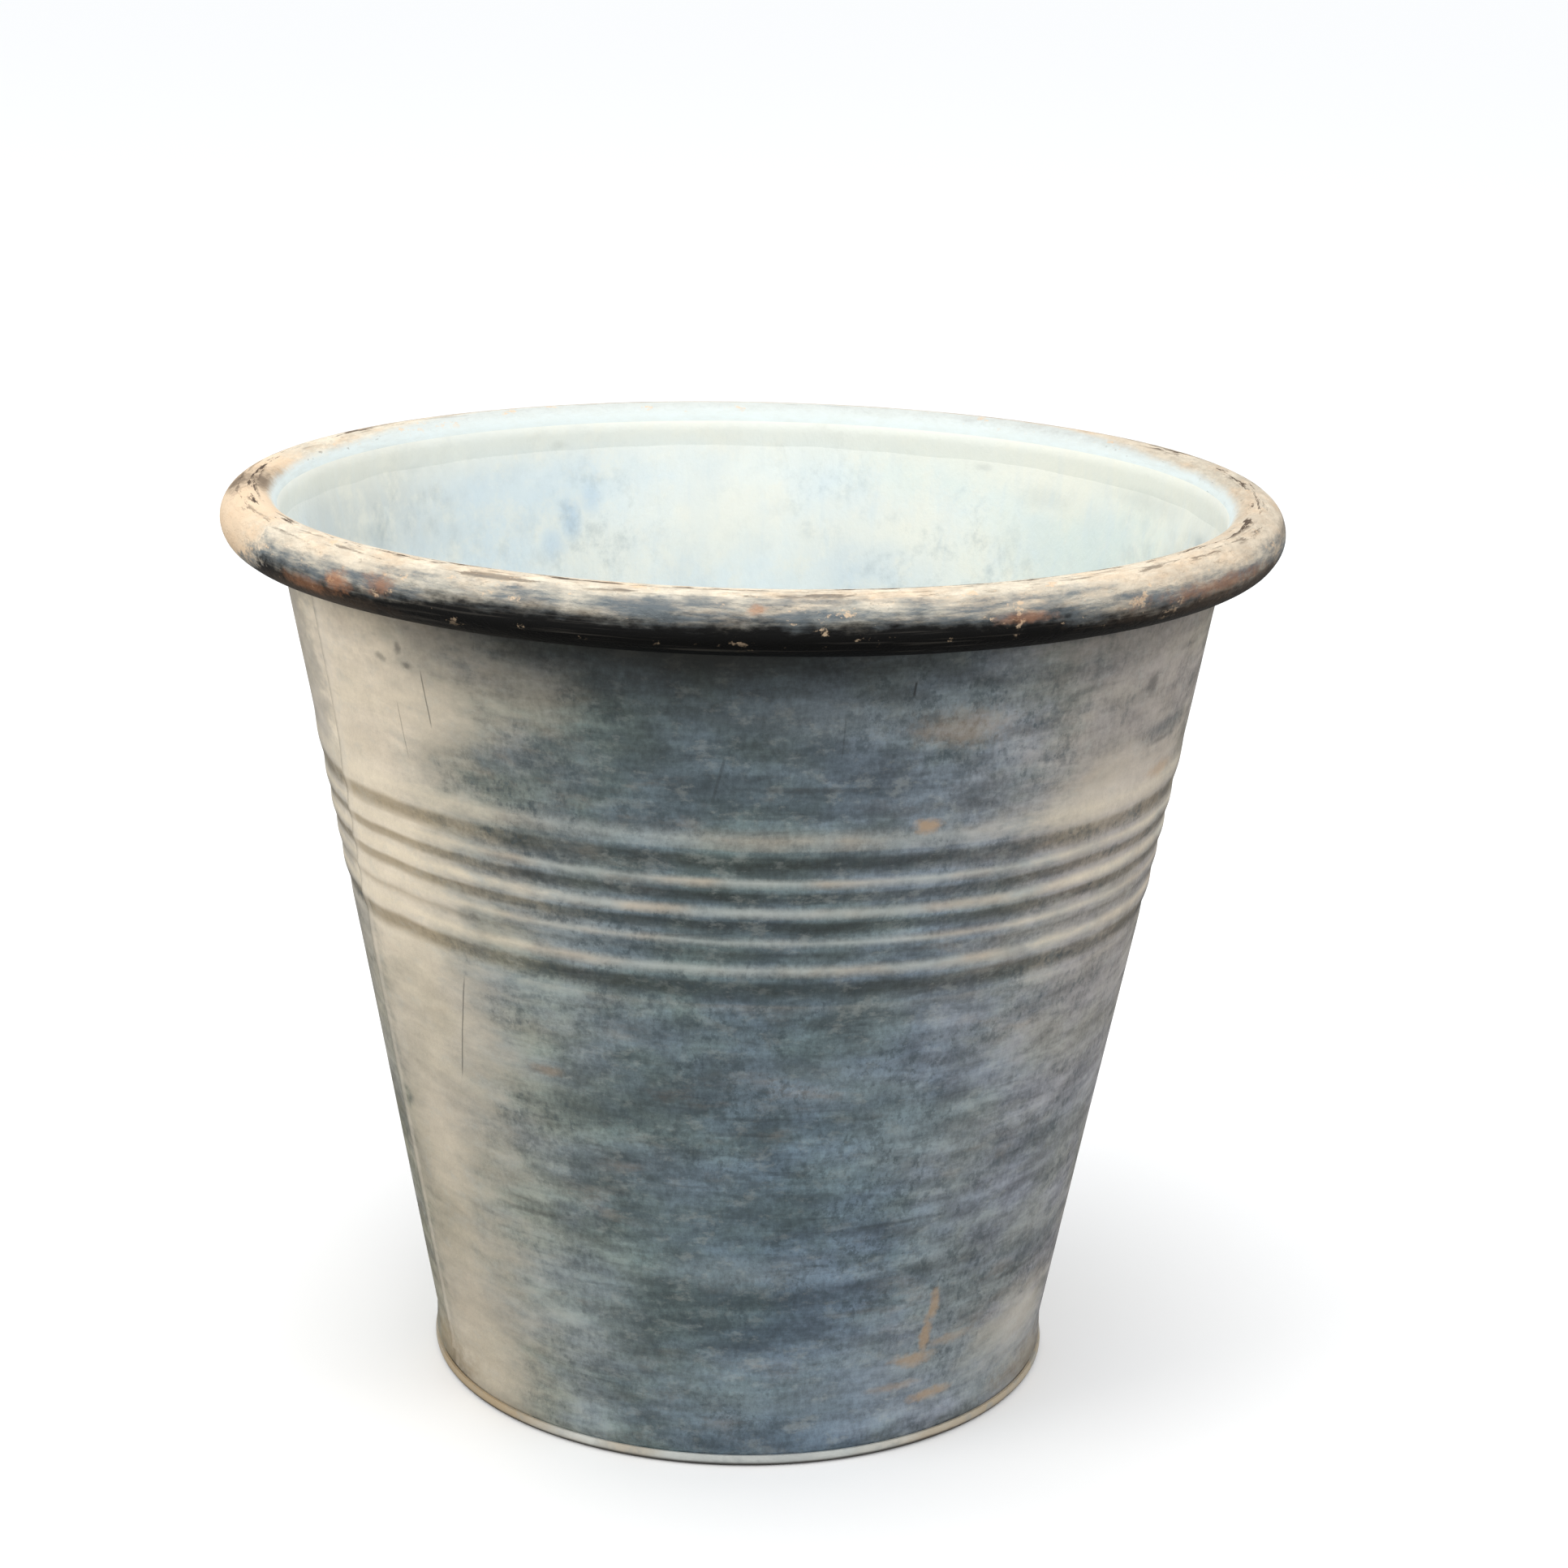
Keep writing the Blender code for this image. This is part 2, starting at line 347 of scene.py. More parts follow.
@dataclass(frozen=True)
class Effects:
    """The shader node groups that the finishes share."""

    roll_radius: float
    roll_turn_radius: float
    roll_height: float
    place: NodeTree = field(init=False)
    rubbed: NodeTree = field(init=False)
    stain: NodeTree = field(init=False)
    hairline: NodeTree = field(init=False)

    def __post_init__(self) -> None:
        """Builds each group once."""
        for name in ("place", "rubbed", "stain", "hairline"):
            object.__setattr__(self, name, getattr(self, f"_build_{name}")())

    def _build_place(self) -> NodeTree:
        """Where a point lies: turn and height, and its angle round the rolled rim."""
        outputs = ("Turn", "Height", "Reach", "Roll", "Point", "Unrolled")
        graph, _, leave = new_effect("Bucket place", {}, outputs)
        point = graph.add("ShaderNodeTexCoord").outputs["Object"]
        parts = graph.add("ShaderNodeSeparateXYZ", {0: point}).outputs
        back = graph.times(parts[1], -1.0)
        turn = graph.math("DEGREES", graph.math("ARCTAN2", parts[0], back))
        across = graph.times(parts[0], parts[0])
        reach = graph.math("SQRT", graph.fused(parts[1], parts[1], across))
        rise = graph.minus(parts[2], self.roll_height)
        out = graph.minus(reach, self.roll_turn_radius)
        roll = graph.math("DEGREES", graph.math("ARCTAN2", rise, out))
        inside = graph.math("LESS_THAN", out, -0.9 * self.roll_radius)
        below = graph.times(inside, graph.math("LESS_THAN", roll, 0.0))
        roll = graph.fused(below, 360.0, roll)
        ring = graph.over(self.roll_turn_radius, reach)
        flat = {0: graph.times(parts[0], ring), 1: graph.times(parts[1], ring)}
        flat[2] = graph.times(roll, math.radians(self.roll_radius))
        graph.feed(leave.inputs["Unrolled"], graph.add("ShaderNodeCombineXYZ", flat).outputs[0])
        graph.feed(leave.inputs["Turn"], turn)
        graph.feed(leave.inputs["Height"], graph.times(parts[2], 1 / MM))
        graph.feed(leave.inputs["Reach"], graph.times(reach, 1 / MM))
        graph.feed(leave.inputs["Roll"], roll)
        graph.feed(leave.inputs["Point"], point)
        return graph.tree

    def _build_rubbed(self) -> NodeTree:
        """Noise drawn out along the wall or up it, cut to a mask between two levels."""
        usual: dict[str, Input] = {"Point": (0.0, 0.0, 0.0)}
        usual |= {"Around": 20.0, "Up": 20.0, "Detail": 3.0, "Roughness": 0.5}
        usual |= {"Low": 0.4, "High": 0.6, "Seed": 0.0}
        graph, given, leave = new_effect("Rubbed noise", usual, ("Mask", "Value"))
        scales = {0: given["Around"], 1: given["Around"], 2: given["Up"]}
        stretch = graph.add("ShaderNodeCombineXYZ", scales)
        inputs = {0: given["Point"], 1: stretch.outputs[0]}
        drawn = graph.add("ShaderNodeVectorMath", inputs, operation="MULTIPLY")
        inputs = {"Vector": drawn.outputs[0], "W": given["Seed"], "Scale": 1.0}
        inputs |= {"Detail": given["Detail"], "Roughness": given["Roughness"]}
        value = graph.add("ShaderNodeTexNoise", inputs, noise_dimensions="4D").outputs["Fac"]
        levels = {0: value, 1: given["Low"], 2: given["High"]}
        mask = graph.add("ShaderNodeMapRange", levels, interpolation_type="SMOOTHSTEP")
        graph.feed(leave.inputs["Mask"], mask.outputs[0])
        graph.feed(leave.inputs["Value"], value)
        return graph.tree

    def _build_stain(self) -> NodeTree:
        """An oval patch in turn and height whose edge is broken up by a noise value."""
        usual = {"Turn": 0.0, "Height": 0.0, "Ragged": 0.0, "At turn": 0.0, "At height": 100.0}
        usual |= {"Half turn": 10.0, "Half height": 20.0, "Edge": 0.5, "Strength": 1.0}
        graph, given, leave = new_effect("Stain", usual, ("Mask",))
        off = graph.math("WRAP", graph.minus(given["Turn"], given["At turn"]), 180.0, -180.0)
        wide = graph.over(off, given["Half turn"])
        tall = graph.over(graph.minus(given["Height"], given["At height"]), given["Half height"])
        square = graph.fused(wide, wide, graph.times(tall, tall))
        distance = graph.plus(graph.math("SQRT", square), given["Ragged"])
        inner = graph.minus(1.0, given["Edge"])
        outer = graph.plus(1.0, given["Edge"])
        inputs = {0: distance, 1: inner, 2: outer, 3: given["Strength"], 4: 0.0}
        mask = graph.add("ShaderNodeMapRange", inputs, interpolation_type="SMOOTHSTEP").outputs[0]
        graph.feed(leave.inputs["Mask"], mask)
        return graph.tree

    def _build_hairline(self) -> NodeTree:
        """A thin line up the wall, leaning and broken, as a mask."""
        usual = {"Turn": 0.0, "Height": 0.0, "Ragged": 0.0, "At turn": 0.0, "At height": 100.0}
        usual |= {"Half height": 15.0, "Lean": 0.0, "Half width": 0.25, "Strength": 0.8}
        graph, given, leave = new_effect("Hairline", usual, ("Mask",))
        up = graph.minus(given["Height"], given["At height"])
        middle = graph.fused(up, given["Lean"], given["At turn"])
        off = graph.math("WRAP", graph.minus(given["Turn"], middle), 180.0, -180.0)
        bent = graph.math("ABSOLUTE", graph.fused(given["Ragged"], 0.6, off))
        inputs = {0: graph.over(bent, given["Half width"]), 1: 0.4, 2: 1.4, 3: given["Strength"], 4: 0.0}
        line = graph.add("ShaderNodeMapRange", inputs, interpolation_type="SMOOTHSTEP").outputs[0]
        ends = graph.over(graph.math("ABSOLUTE", up), given["Half height"])
        kept = graph.span(graph.plus(ends, given["Ragged"]), 0.7, 1.1, 1.0, 0.0)
        graph.feed(leave.inputs["Mask"], graph.times(line, kept))
        return graph.tree


@dataclass
class Coat:
    """A material while it is being made: its graph, its place on the bucket and its colour so far."""

    name: str
    effects: Effects
    unrolled: bool = False
    material: Material = field(init=False)
    graph: Graph = field(init=False)
    shader: Node = field(init=False)
    place: Node = field(init=False)
    point: Socket = field(init=False)

    def __post_init__(self) -> None:
        """Makes the material with its Principled BSDF."""
        self.material = bpy.data.materials.new(self.name)
        self.material.use_nodes = True
        self.graph = Graph(self.material.node_tree)
        self.shader = self.material.node_tree.nodes["Principled BSDF"]
        self.place = self.graph.effect(self.effects.place)
        self.point = self.place.outputs["Unrolled" if self.unrolled else "Point"]

    def rubbed(self, grain: Grain) -> Socket:
        """A mask of noise drawn out along or up the wall.

        Args:
            grain: The noise.

        Returns:
            The mask.
        """
        inputs = {"Point": self.point, "Around": grain.around, "Up": grain.up, "Low": grain.low}
        inputs |= {"High": grain.high, "Seed": grain.seed}
        inputs |= {"Detail": grain.detail, "Roughness": grain.roughness}
        return self.graph.effect(self.effects.rubbed, inputs).outputs["Mask"]

    def ragged(self, fray: Fray) -> Socket:
        """A value about 0 that breaks up the edges of stains and hairlines.

        Args:
            fray: The noise and how far it moves an edge, as a share of the stain.

        Returns:
            The value.
        """
        inputs = {"Point": self.point, "Around": fray.around, "Up": fray.up, "Seed": fray.seed}
        inputs |= {"Detail": fray.detail, "Roughness": fray.roughness}
        value = self.graph.effect(self.effects.rubbed, inputs).outputs["Value"]
        return self.graph.times(self.graph.minus(value, 0.5), 2.0 * fray.amount)

    def stains(self, patches: Sequence[Stain], ragged: Socket, height: Socket | None = None) -> Socket:
        """The strongest of several stains at each point.

        Args:
            patches: The stains.
            ragged: Value that breaks up their edges.
            height: Height to use instead of the point's own.

        Returns:
            The mask.
        """
        mask: Input = 0.0
        for patch in patches:
            inputs = {"Turn": self.place.outputs["Turn"], "Height": height or self.place.outputs["Height"]}
            inputs |= {"Ragged": ragged, "At turn": patch.turn, "At height": patch.height}
            inputs |= {"Half turn": patch.half_turn, "Half height": patch.half_height}
            inputs |= {"Edge": patch.edge, "Strength": patch.strength}
            stain = self.graph.effect(self.effects.stain, inputs).outputs[0]
            mask = self.graph.math("MAXIMUM", mask, stain)
        return mask

    def wheel(self, tones: Sequence[tuple[float, Tone]], turn: Socket) -> Socket:
        """A colour that changes round the bucket.

        Args:
            tones: Turns from -180 to 180 with the tone at each.
            turn: The turn at each point, which may run past half a turn.

        Returns:
            The colour.
        """
        share = self.graph.over(self.graph.math("WRAP", turn, 180.0, -180.0), 360.0)
        stops = [((place + 180) / 360, linear(tone)) for place, tone in tones]
        return self.graph.ramp(self.graph.plus(share, 0.5), stops)

    def hairlines(self, lines: Sequence[Hairline], ragged: Socket) -> Socket:
        """The strongest of several hairlines at each point.

        Args:
            lines: The hairlines.
            ragged: Value that bends and breaks them.

        Returns:
            The mask.
        """
        mask: Input = 0.0
        for line in lines:
            inputs = {"Turn": self.place.outputs["Turn"], "Height": self.place.outputs["Height"]}
            inputs |= {"Ragged": ragged, "At turn": line.turn, "At height": line.height, "Lean": line.lean}
            inputs |= {"Half height": line.half_height, "Half width": line.half_width}
            inputs |= {"Strength": line.strength}
            scratch = self.graph.effect(self.effects.hairline, inputs).outputs[0]
            mask = self.graph.math("MAXIMUM", mask, scratch)
        return mask

    def finish(
        self, color: Input, roughness: Input, metallic: Input, height: Input, depth: float
    ) -> Material:
        """Joins the finished values to the Principled BSDF.

        Args:
            color: Base colour.
            roughness: Roughness.
            metallic: How metallic it is.
            height: Height of the fine relief, from 0 to 1.
            depth: How deep that relief is, in metres.

        Returns:
            The material.
        """
        bump = self.graph.add("ShaderNodeBump", {"Height": height, "Distance": depth, "Strength": 1.0})
        self.graph.feed(self.shader.inputs["Base Color"], color)
        self.graph.feed(self.shader.inputs["Roughness"], roughness)
        self.graph.feed(self.shader.inputs["Metallic"], metallic)
        self.graph.feed(self.shader.inputs["Normal"], bump.outputs[0])
        return self.material


# ---- Finishes ----


@dataclass(frozen=True)
class ZincPatina:
    """Outside of the wall: cloudy blue-grey zinc, with painted shade under each ring and a painted
    highlight on it, and chalk and rust marks.
    """

    # Tone of the wall round the bucket, by turn, above the rings and below them; partly the zinc's own tone
    # and partly painted light, warm and bright on the left
    high_tones: tuple[tuple[float, Tone], ...] = (
        (-180, (128, 134, 134)), (-140, (170, 162, 150)), (-105, (146, 142, 132)),
        (-80, (180, 173, 162)), (-68, (204, 195, 180)), (-62, (246, 233, 212)), (-48, (236, 223, 202)),
        (-38, (190, 184, 170)), (-28, (128, 134, 130)), (-16, (98, 111, 113)), (-2, (97, 111, 115)),
        (12, (100, 112, 118)), (24, (114, 124, 128)), (34, (134, 138, 138)), (46, (172, 166, 160)),
        (62, (174, 166, 158)), (80, (148, 140, 130)), (105, (120, 126, 126)), (140, (96, 108, 112)),
        (180, (128, 134, 134)),
    )
    low_tones: tuple[tuple[float, Tone], ...] = (
        (-180, (104, 116, 122)), (-140, (150, 148, 138)), (-110, (118, 122, 116)),
        (-78, (140, 138, 124)), (-66.5, (146, 144, 130)), (-61.5, (174, 167, 151)),
        (-52, (190, 181, 163)), (-44, (178, 173, 159)), (-35, (148, 152, 145)), (-26, (128, 137, 135)),
        (-14, (106, 120, 123)), (6, (95, 112, 121)), (20, (103, 118, 128)), (32, (128, 137, 143)),
        (46, (132, 137, 141)), (62, (142, 143, 144)), (80, (150, 146, 143)), (112, (168, 162, 150)),
        (145, (112, 122, 126)), (180, (104, 116, 122)),
    )
    deep: Tone = (58, 72, 78)
    pale: Tone = (176, 190, 198)
    chalk: Tone = (236, 223, 202)
    peach: Tone = (196, 172, 148)
    tan: Tone = (186, 156, 122)
    soot_and_shade: Tone = (38, 42, 44)
    # Painted shade with some dirt for the rings' hollows, and painted highlights for their crests
    groove_shade_and_dirt: Tone = (154, 152, 144)
    cream_groove_shade_and_dirt: Tone = (186, 178, 162)
    crest_highlight: Tone = (206, 210, 204)
    warm_crest_highlight: Tone = (220, 204, 182)
    cream_crest_highlight: Tone = (238, 225, 200)
    light: Tone = (190, 194, 188)
    # Tone of the painted shadow that the roll casts on the wall
    under_rim_shadow_tone: Tone = (92, 88, 80)
    # Tone of the painted shadow that the lap's edge casts beside the seam
    lap_shadow_tone: Tone = (116, 112, 104)
    seam_edge: Tone = (226, 216, 200)
    straw: Tone = (150, 128, 92)
    green_drift: Color = (0.98, 1.0, 0.94, 1.0)
    blue_drift: Color = (0.97, 0.99, 1.1, 1.0)
    ring_tilt_mm: float = 1.3
    # Where the lap's edge leans: heights, and its turn at each
    seam_heights: Spot = (110.0, 210.0)
    seam_turns: Spot = (-65.2, -61.3)
    foot_marks: tuple[Stain, ...] = (
        Stain(-68, 8, 9, 7, 0.55, 0.8), Stain(68, 7, 12, 5, 0.4, 0.8), Stain(170, 8, 20, 4, 0.4, 0.8),
    )
    # Painted shadow that the roll casts on the wall under it, darkest in front
    under_rim_painted_shadow: tuple[Stain, ...] = (
        Stain(-8, 230, 36, 17, 1, 0.85), Stain(40, 232, 34, 15, 0.45, 0.85),
        Stain(-50, 231, 20, 6, 0.25, 0.8), Stain(100, 232, 60, 14, 0.5, 0.7),
        Stain(-130, 232, 60, 16, 0.6, 0.7), Stain(175, 232, 40, 18, 0.6, 0.7),
    )
    chalk_zones: tuple[Stain, ...] = (
        Stain(-55, 165, 8, 36, 0.6, 0.7), Stain(-53, 78, 5, 14, 0.4, 0.7),
        Stain(-58, 18, 14, 16, 0.4, 0.9), Stain(-42, 206, 8, 10, 0.5, 0.8),
        Stain(-28, 214, 8, 8, 0.3, 0.8), Stain(52, 182, 14, 8, 0.4, 0.8),
        Stain(60, 24, 12, 10, 0.4, 0.8), Stain(112, 150, 14, 60, 0.5, 0.8),
        Stain(168, 40, 20, 30, 0.5, 0.8), Stain(-150, 190, 20, 30, 0.5, 0.8),
        Stain(-104, 60, 12, 50, 0.4, 0.8),
    )
    deep_zones: tuple[Stain, ...] = (
        Stain(-20, 194, 15, 12, 0.34, 0.9), Stain(6, 189, 13, 3.5, 0.4, 0.9),
        Stain(-20, 108, 16, 9, 0.26, 0.9), Stain(-24, 84, 12, 6, 0.26, 0.9),
        Stain(-3, 72, 10, 5, 0.26, 0.9), Stain(-6, 46, 14, 10, 0.42, 0.9),
        Stain(17, 105, 12, 6, 0.26, 0.9), Stain(20, 134, 14, 5, 0.3, 0.9),
        Stain(54, 48, 14, 4, 0.4, 0.9), Stain(50, 84, 12, 5, 0.28, 0.9),
        Stain(62, 193, 6, 2.6, 0.5, 0.8), Stain(150, 180, 20, 14, 0.4, 0.9),
        Stain(-140, 100, 22, 14, 0.4, 0.9), Stain(110, 40, 18, 12, 0.35, 0.9),
        Stain(-172, 150, 22, 10, 0.35, 0.9),
    )
    pale_zones: tuple[Stain, ...] = (
        Stain(-27, 44, 9, 13, 0.24, 0.9), Stain(-30, 134, 8, 4, 0.3, 0.8),
        Stain(12, 112, 9, 6, 0.2, 0.9), Stain(16, 211, 13, 6, 0.3, 0.9), Stain(24, 96, 7, 8, 0.2, 0.9),
        Stain(2, 58, 12, 4, 0.28, 0.9), Stain(18, 22, 26, 11, 0.26, 0.9),
        Stain(58, 16, 16, 10, 0.3, 0.9), Stain(178, 100, 12, 14, 0.4, 0.8),
        Stain(-120, 190, 14, 12, 0.4, 0.8), Stain(95, 195, 12, 14, 0.4, 0.8),
    )
    tan_marks: tuple[Stain, ...] = (
        Stain(21.8, 181.2, 1.5, 1.7, 0.75, 0.7), Stain(25, 206, 5, 4, 0.3, 0.8),
        Stain(34, 42, 0.9, 5, 0.6, 0.6), Stain(33.2, 33, 1, 6, 0.65, 0.6),
        Stain(31.5, 26.5, 3.6, 1.8, 0.6, 0.7), Stain(38, 30, 4, 1.3, 0.35, 0.8),
        Stain(36, 14, 4, 1.4, 0.65, 0.7), Stain(28, 19, 4, 1.2, 0.35, 0.8),
        Stain(-28, 111, 2.4, 1.2, 0.3, 0.9), Stain(64, 181, 4, 1.6, 0.5, 0.8),
        Stain(129, 120, 2, 9, 0.5, 0.7), Stain(-131, 30, 5, 3, 0.5, 0.7),
    )
    soot_marks: tuple[Stain, ...] = (
        Stain(-44, 217.5, 0.6, 1.3, 0.5, 0.7), Stain(-42.8, 213.5, 0.8, 0.8, 0.5, 0.7),
        Stain(-47.5, 214, 0.8, 1, 0.4, 0.7), Stain(55.5, 207.5, 1, 2.4, 0.5, 0.7),
        Stain(63, 190, 4, 0.7, 0.4, 0.8), Stain(25, 70, 6, 0.6, 0.45, 0.8),
        Stain(-34, 68, 5, 0.6, 0.35, 0.8), Stain(8, 192, 6, 0.7, 0.5, 0.8),
        Stain(56, 43, 7, 0.8, 0.4, 0.8),
    )
    hairlines: tuple[Hairline, ...] = (
        Hairline(-43, 117, 14, 0.13, 0.14, 0.6), Hairline(-40.4, 206, 7, -0.03, 0.12, 0.55),
        Hairline(-45.5, 196, 7, -0.03, 0.1, 0.35), Hairline(18.3, 217, 2.2, 0.05, 0.14, 0.8),
        Hairline(-3.5, 194, 6, 0.12, 0.2, 0.35), Hairline(10.5, 205, 6, 0.02, 0.1, 0.3),
        Hairline(151, 60, 16, -0.1, 0.16, 0.5), Hairline(-128, 140, 22, 0.06, 0.14, 0.5),
    )
    # Painted light and shade of the rings, with some dirt in the hollows, from the top down: height in mm
    # and tone, where 0.5 is the wall's own tone, less is painted shade and more a painted highlight
    ring_light_shade_and_dirt: tuple[tuple[float, float], ...] = (
        (186, 0.46), (182.5, 0.56), (179.2, 0.78), (176.6, 0.68), (174.2, 0.24), (172.4, 0.20),
        (170.2, 0.40), (168, 0.86), (166.3, 0.62), (164.8, 0.22), (163.2, 0.30), (161.6, 0.62),
        (160, 0.95), (158.4, 0.66), (157, 0.20), (155.4, 0.26), (153.6, 0.56), (151.9, 0.82),
        (150.3, 0.54), (148.8, 0.36), (146.6, 0.54), (144.5, 0.90), (142.5, 0.62), (140.5, 0.20),
        (138.4, 0.22), (136.5, 0.40), (134.4, 0.64), (131, 0.50),
    )
    # Noises that make its patches and fray their edges
    wide_drift: Fray = Fray(24, 52, 8.3, 14)
    fine_drift: Fray = Fray(130, 320, 2.9, 8)
    hue_noise: Grain = Grain(34, 60, 0.36, 0.64, 1.7, 4, 0.6)
    zone_edge: Fray = Fray(40, 120, 8.8, 0.8)
    zone_fringe: Fray = Fray(180, 520, 9.9, 0.5)
    ring_wobble: Fray = Fray(40, 50, 6.6, 0.7)
    ring_patches: Grain = Grain(60, 90, 0.3, 0.68, 9.4, 5, 0.65)
    # Warmth of the painted highlight on the crests
    crest_highlight_warmth: Grain = Grain(40, 60, 0.4, 0.6, 3.3)
    grain: Grain = Grain(700, 420, 0.25, 0.75, 3.2, 4, 0.75)
    speck_patches: Grain = Grain(34, 52, 0.38, 0.62, 7.7, 5, 0.65)
    specks: Grain = Grain(380, 300, 0.5, 0.6, 5.5, 5, 0.72)
    worn_flecks: Grain = Grain(120, 260, 0.5, 0.6, 6.8, 7, 0.68)
    light_flecks: Grain = Grain(150, 260, 0.52, 0.64, 2.8, 7, 0.7)
    dashes: Grain = Grain(44, 480, 0.55, 0.68, 1.1, 4)
    dash_patches: Grain = Grain(22, 70, 0.44, 0.6, 2.2)
    peach_flecks: Grain = Grain(50, 150, 0.5, 0.72, 8.8, 5, 0.65)
    peach_patches: Grain = Grain(16, 40, 0.5, 0.64, 6.1)
    mark_edge: Fray = Fray(150, 220, 4.8, 0.9)
    mark_fringe: Fray = Fray(500, 600, 4.2, 0.8)
    line_breaks: Fray = Fray(60, 60, 5.2, 0.5)
    mottle: Grain = Grain(70, 110, 0.3, 0.7, 3.9, 4)
    # Clouds of shade: each noise with the darkest and the lightest share
    clouds: tuple[tuple[Grain, float, float], ...] = (
        (Grain(20, 50, 0.25, 0.75, 4.1, 7, 0.62), 0.82, 1.2),
        (Grain(70, 200, 0.25, 0.75, 5.3, 7, 0.62), 0.66, 1.38),
        (Grain(22, 240, 0.25, 0.75, 6.2, 7, 0.62), 0.84, 1.18),
    )
    # Steps over tone, noise, height or reach in mm, or degrees
    high_part: Step = (70.0, 185.0)
    calm_by_tone: Step = (0.18, 0.46, 1.0, 0.24)
    # Steps from the rings' level to painted shade and to painted highlight
    groove_shade_and_dirt_step: Step = (0.56, 0.18)
    crest_highlight_step: Step = (0.52, 0.95)
    cream_by_tone: Step = (0.22, 0.45)
    bare_by_tone: Step = (0.18, 0.46, 1.0, 0.14)
    grain_shade: Step = (0.0, 1.0, 0.8, 1.2)
    # Reach of the painted shadow beside the lap's edge
    lap_shadow_reach: Step = (0.2, 1.3, 0.45, 0.0)
    seam_edge_reach: Step = (0.3, 1.3, 0.35, 0.0)
    roughness: Step = (0.0, 1.0, 0.62, 0.8)
    metallic: Step = (0.0, 1.0, 0.15, 0.03)

    def _ground(self, coat: Coat) -> Socket:
        """The wall's tone round the bucket, partly painted light that is warm and bright on the left, with
        clouds of green and blue drawn out by wiping.

        Args:
            coat: The material in the making.

        Returns:
            Its colour.
        """
        graph = coat.graph
        wide = coat.ragged(self.wide_drift)
        fine = coat.ragged(self.fine_drift)
        turn = graph.plus(coat.place.outputs["Turn"], graph.plus(wide, fine))
        rise = graph.fused(wide, 2.0, coat.place.outputs["Height"])
        upper = graph.span(rise, *self.high_part)
        color = graph.layer(coat.wheel(self.low_tones, turn), coat.wheel(self.high_tones, turn), upper)
        calm = graph.span(graph.bright(color), *self.calm_by_tone)
        hue = coat.rubbed(self.hue_noise)
        drift = graph.layer(self.green_drift, self.blue_drift, hue)
        color = graph.layer(color, drift, calm, Blend.DARKEN)
        for cloud, low, high in self.clouds:
            shade = graph.span(coat.rubbed(cloud), 0.0, 1.0, low, high)
            color = graph.layer(color, graph.grey(shade), calm, Blend.DARKEN)
        return color

    def _zones(self, coat: Coat, color: Socket) -> Socket:
        """Pale, deep and chalky patches over the ground.

        Args:
            coat: The material in the making.
            color: The colour so far.

        Returns:
            The new colour.
        """
        graph = coat.graph
        both = graph.plus(coat.ragged(self.zone_edge), coat.ragged(self.zone_fringe))
        for zones, tone in (
            (self.pale_zones, self.pale),
            (self.deep_zones, self.deep),
            (self.chalk_zones, self.chalk),
        ):
            color = graph.tint(color, tone, coat.stains(zones, both))
        return color

    def _rings(self, coat: Coat, color: Socket) -> Socket:
        """Painted shade, with some dirt, under each swaged ring and a painted highlight on top of it.

        Args:
            coat: The material in the making.
            color: The colour so far.

        Returns:
            The new colour.
        """
        graph = coat.graph
        turn = graph.math("RADIANS", coat.place.outputs["Turn"])
        level = graph.fused(graph.math("SINE", turn), self.ring_tilt_mm, coat.place.outputs["Height"])
        level = graph.plus(level, coat.ragged(self.ring_wobble))
        low = self.ring_light_shade_and_dirt[-1][0]
        high = self.ring_light_shade_and_dirt[0][0]
        share = graph.over(graph.minus(level, low), high - low)
        ring_lightings = reversed(self.ring_light_shade_and_dirt)
        stops = [((z - low) / (high - low), (ring_lighting, ring_lighting, ring_lighting, 1.0)) for z, ring_lighting in ring_lightings]
        ring_lighting = graph.ramp(share, stops)
        patchy = coat.rubbed(self.ring_patches)
        # Painted shade with some dirt below each crest, and a painted highlight above it
        dark = graph.times(graph.span(ring_lighting, *self.groove_shade_and_dirt_step), graph.fused(patchy, 0.2, 0.72))
        light = graph.times(graph.span(ring_lighting, *self.crest_highlight_step), graph.fused(patchy, 0.25, 0.45))
        pale = graph.span(graph.bright(color), *self.cream_by_tone)
        groove_shade_and_dirt = graph.tint(linear(self.groove_shade_and_dirt), self.cream_groove_shade_and_dirt, pale)
        color = graph.layer(color, groove_shade_and_dirt, dark, Blend.DARKEN)
        warm = graph.tint(linear(self.crest_highlight), self.warm_crest_highlight, coat.rubbed(self.crest_highlight_warmth))
        warm = graph.tint(warm, self.cream_crest_highlight, pale)
        return graph.layer(color, warm, light)

    def _rubs(self, coat: Coat, color: Socket) -> tuple[Socket, Socket]:
        """Fine upright grain, dark specks and the flat strokes of wiping.

        Args:
            coat: The material in the making.
            color: The colour so far.

        Returns:
            The new colour and the grain, which the relief uses too.
        """
        graph = coat.graph
        bare = graph.span(graph.bright(color), *self.bare_by_tone)
        grain = coat.rubbed(self.grain)
        color = graph.layer(color, graph.grey(graph.span(grain, *self.grain_shade)), bare, Blend.DARKEN)
        patchy = coat.rubbed(self.speck_patches)
        specks = coat.rubbed(self.specks)
        specks = graph.times(specks, graph.fused(patchy, 0.5, 0.06))
        color = graph.tint(color, self.deep, graph.times(specks, bare))
        worn = coat.rubbed(self.worn_flecks)
        color = graph.tint(color, self.deep, graph.times(graph.times(worn, bare), 0.2))
        lights = coat.rubbed(self.light_flecks)
        lights = graph.times(lights, graph.fused(patchy, -0.1, 0.22))
        color = graph.tint(color, self.light, lights)
        dashes = graph.times(coat.rubbed(self.dashes), coat.rubbed(self.dash_patches))
        color = graph.tint(color, self.soot_and_shade, graph.times(graph.times(dashes, bare), 0.3))
        peach = graph.times(coat.rubbed(self.peach_flecks), coat.rubbed(self.peach_patches))
        return graph.tint(color, self.peach, graph.times(peach, 0.2)), grain

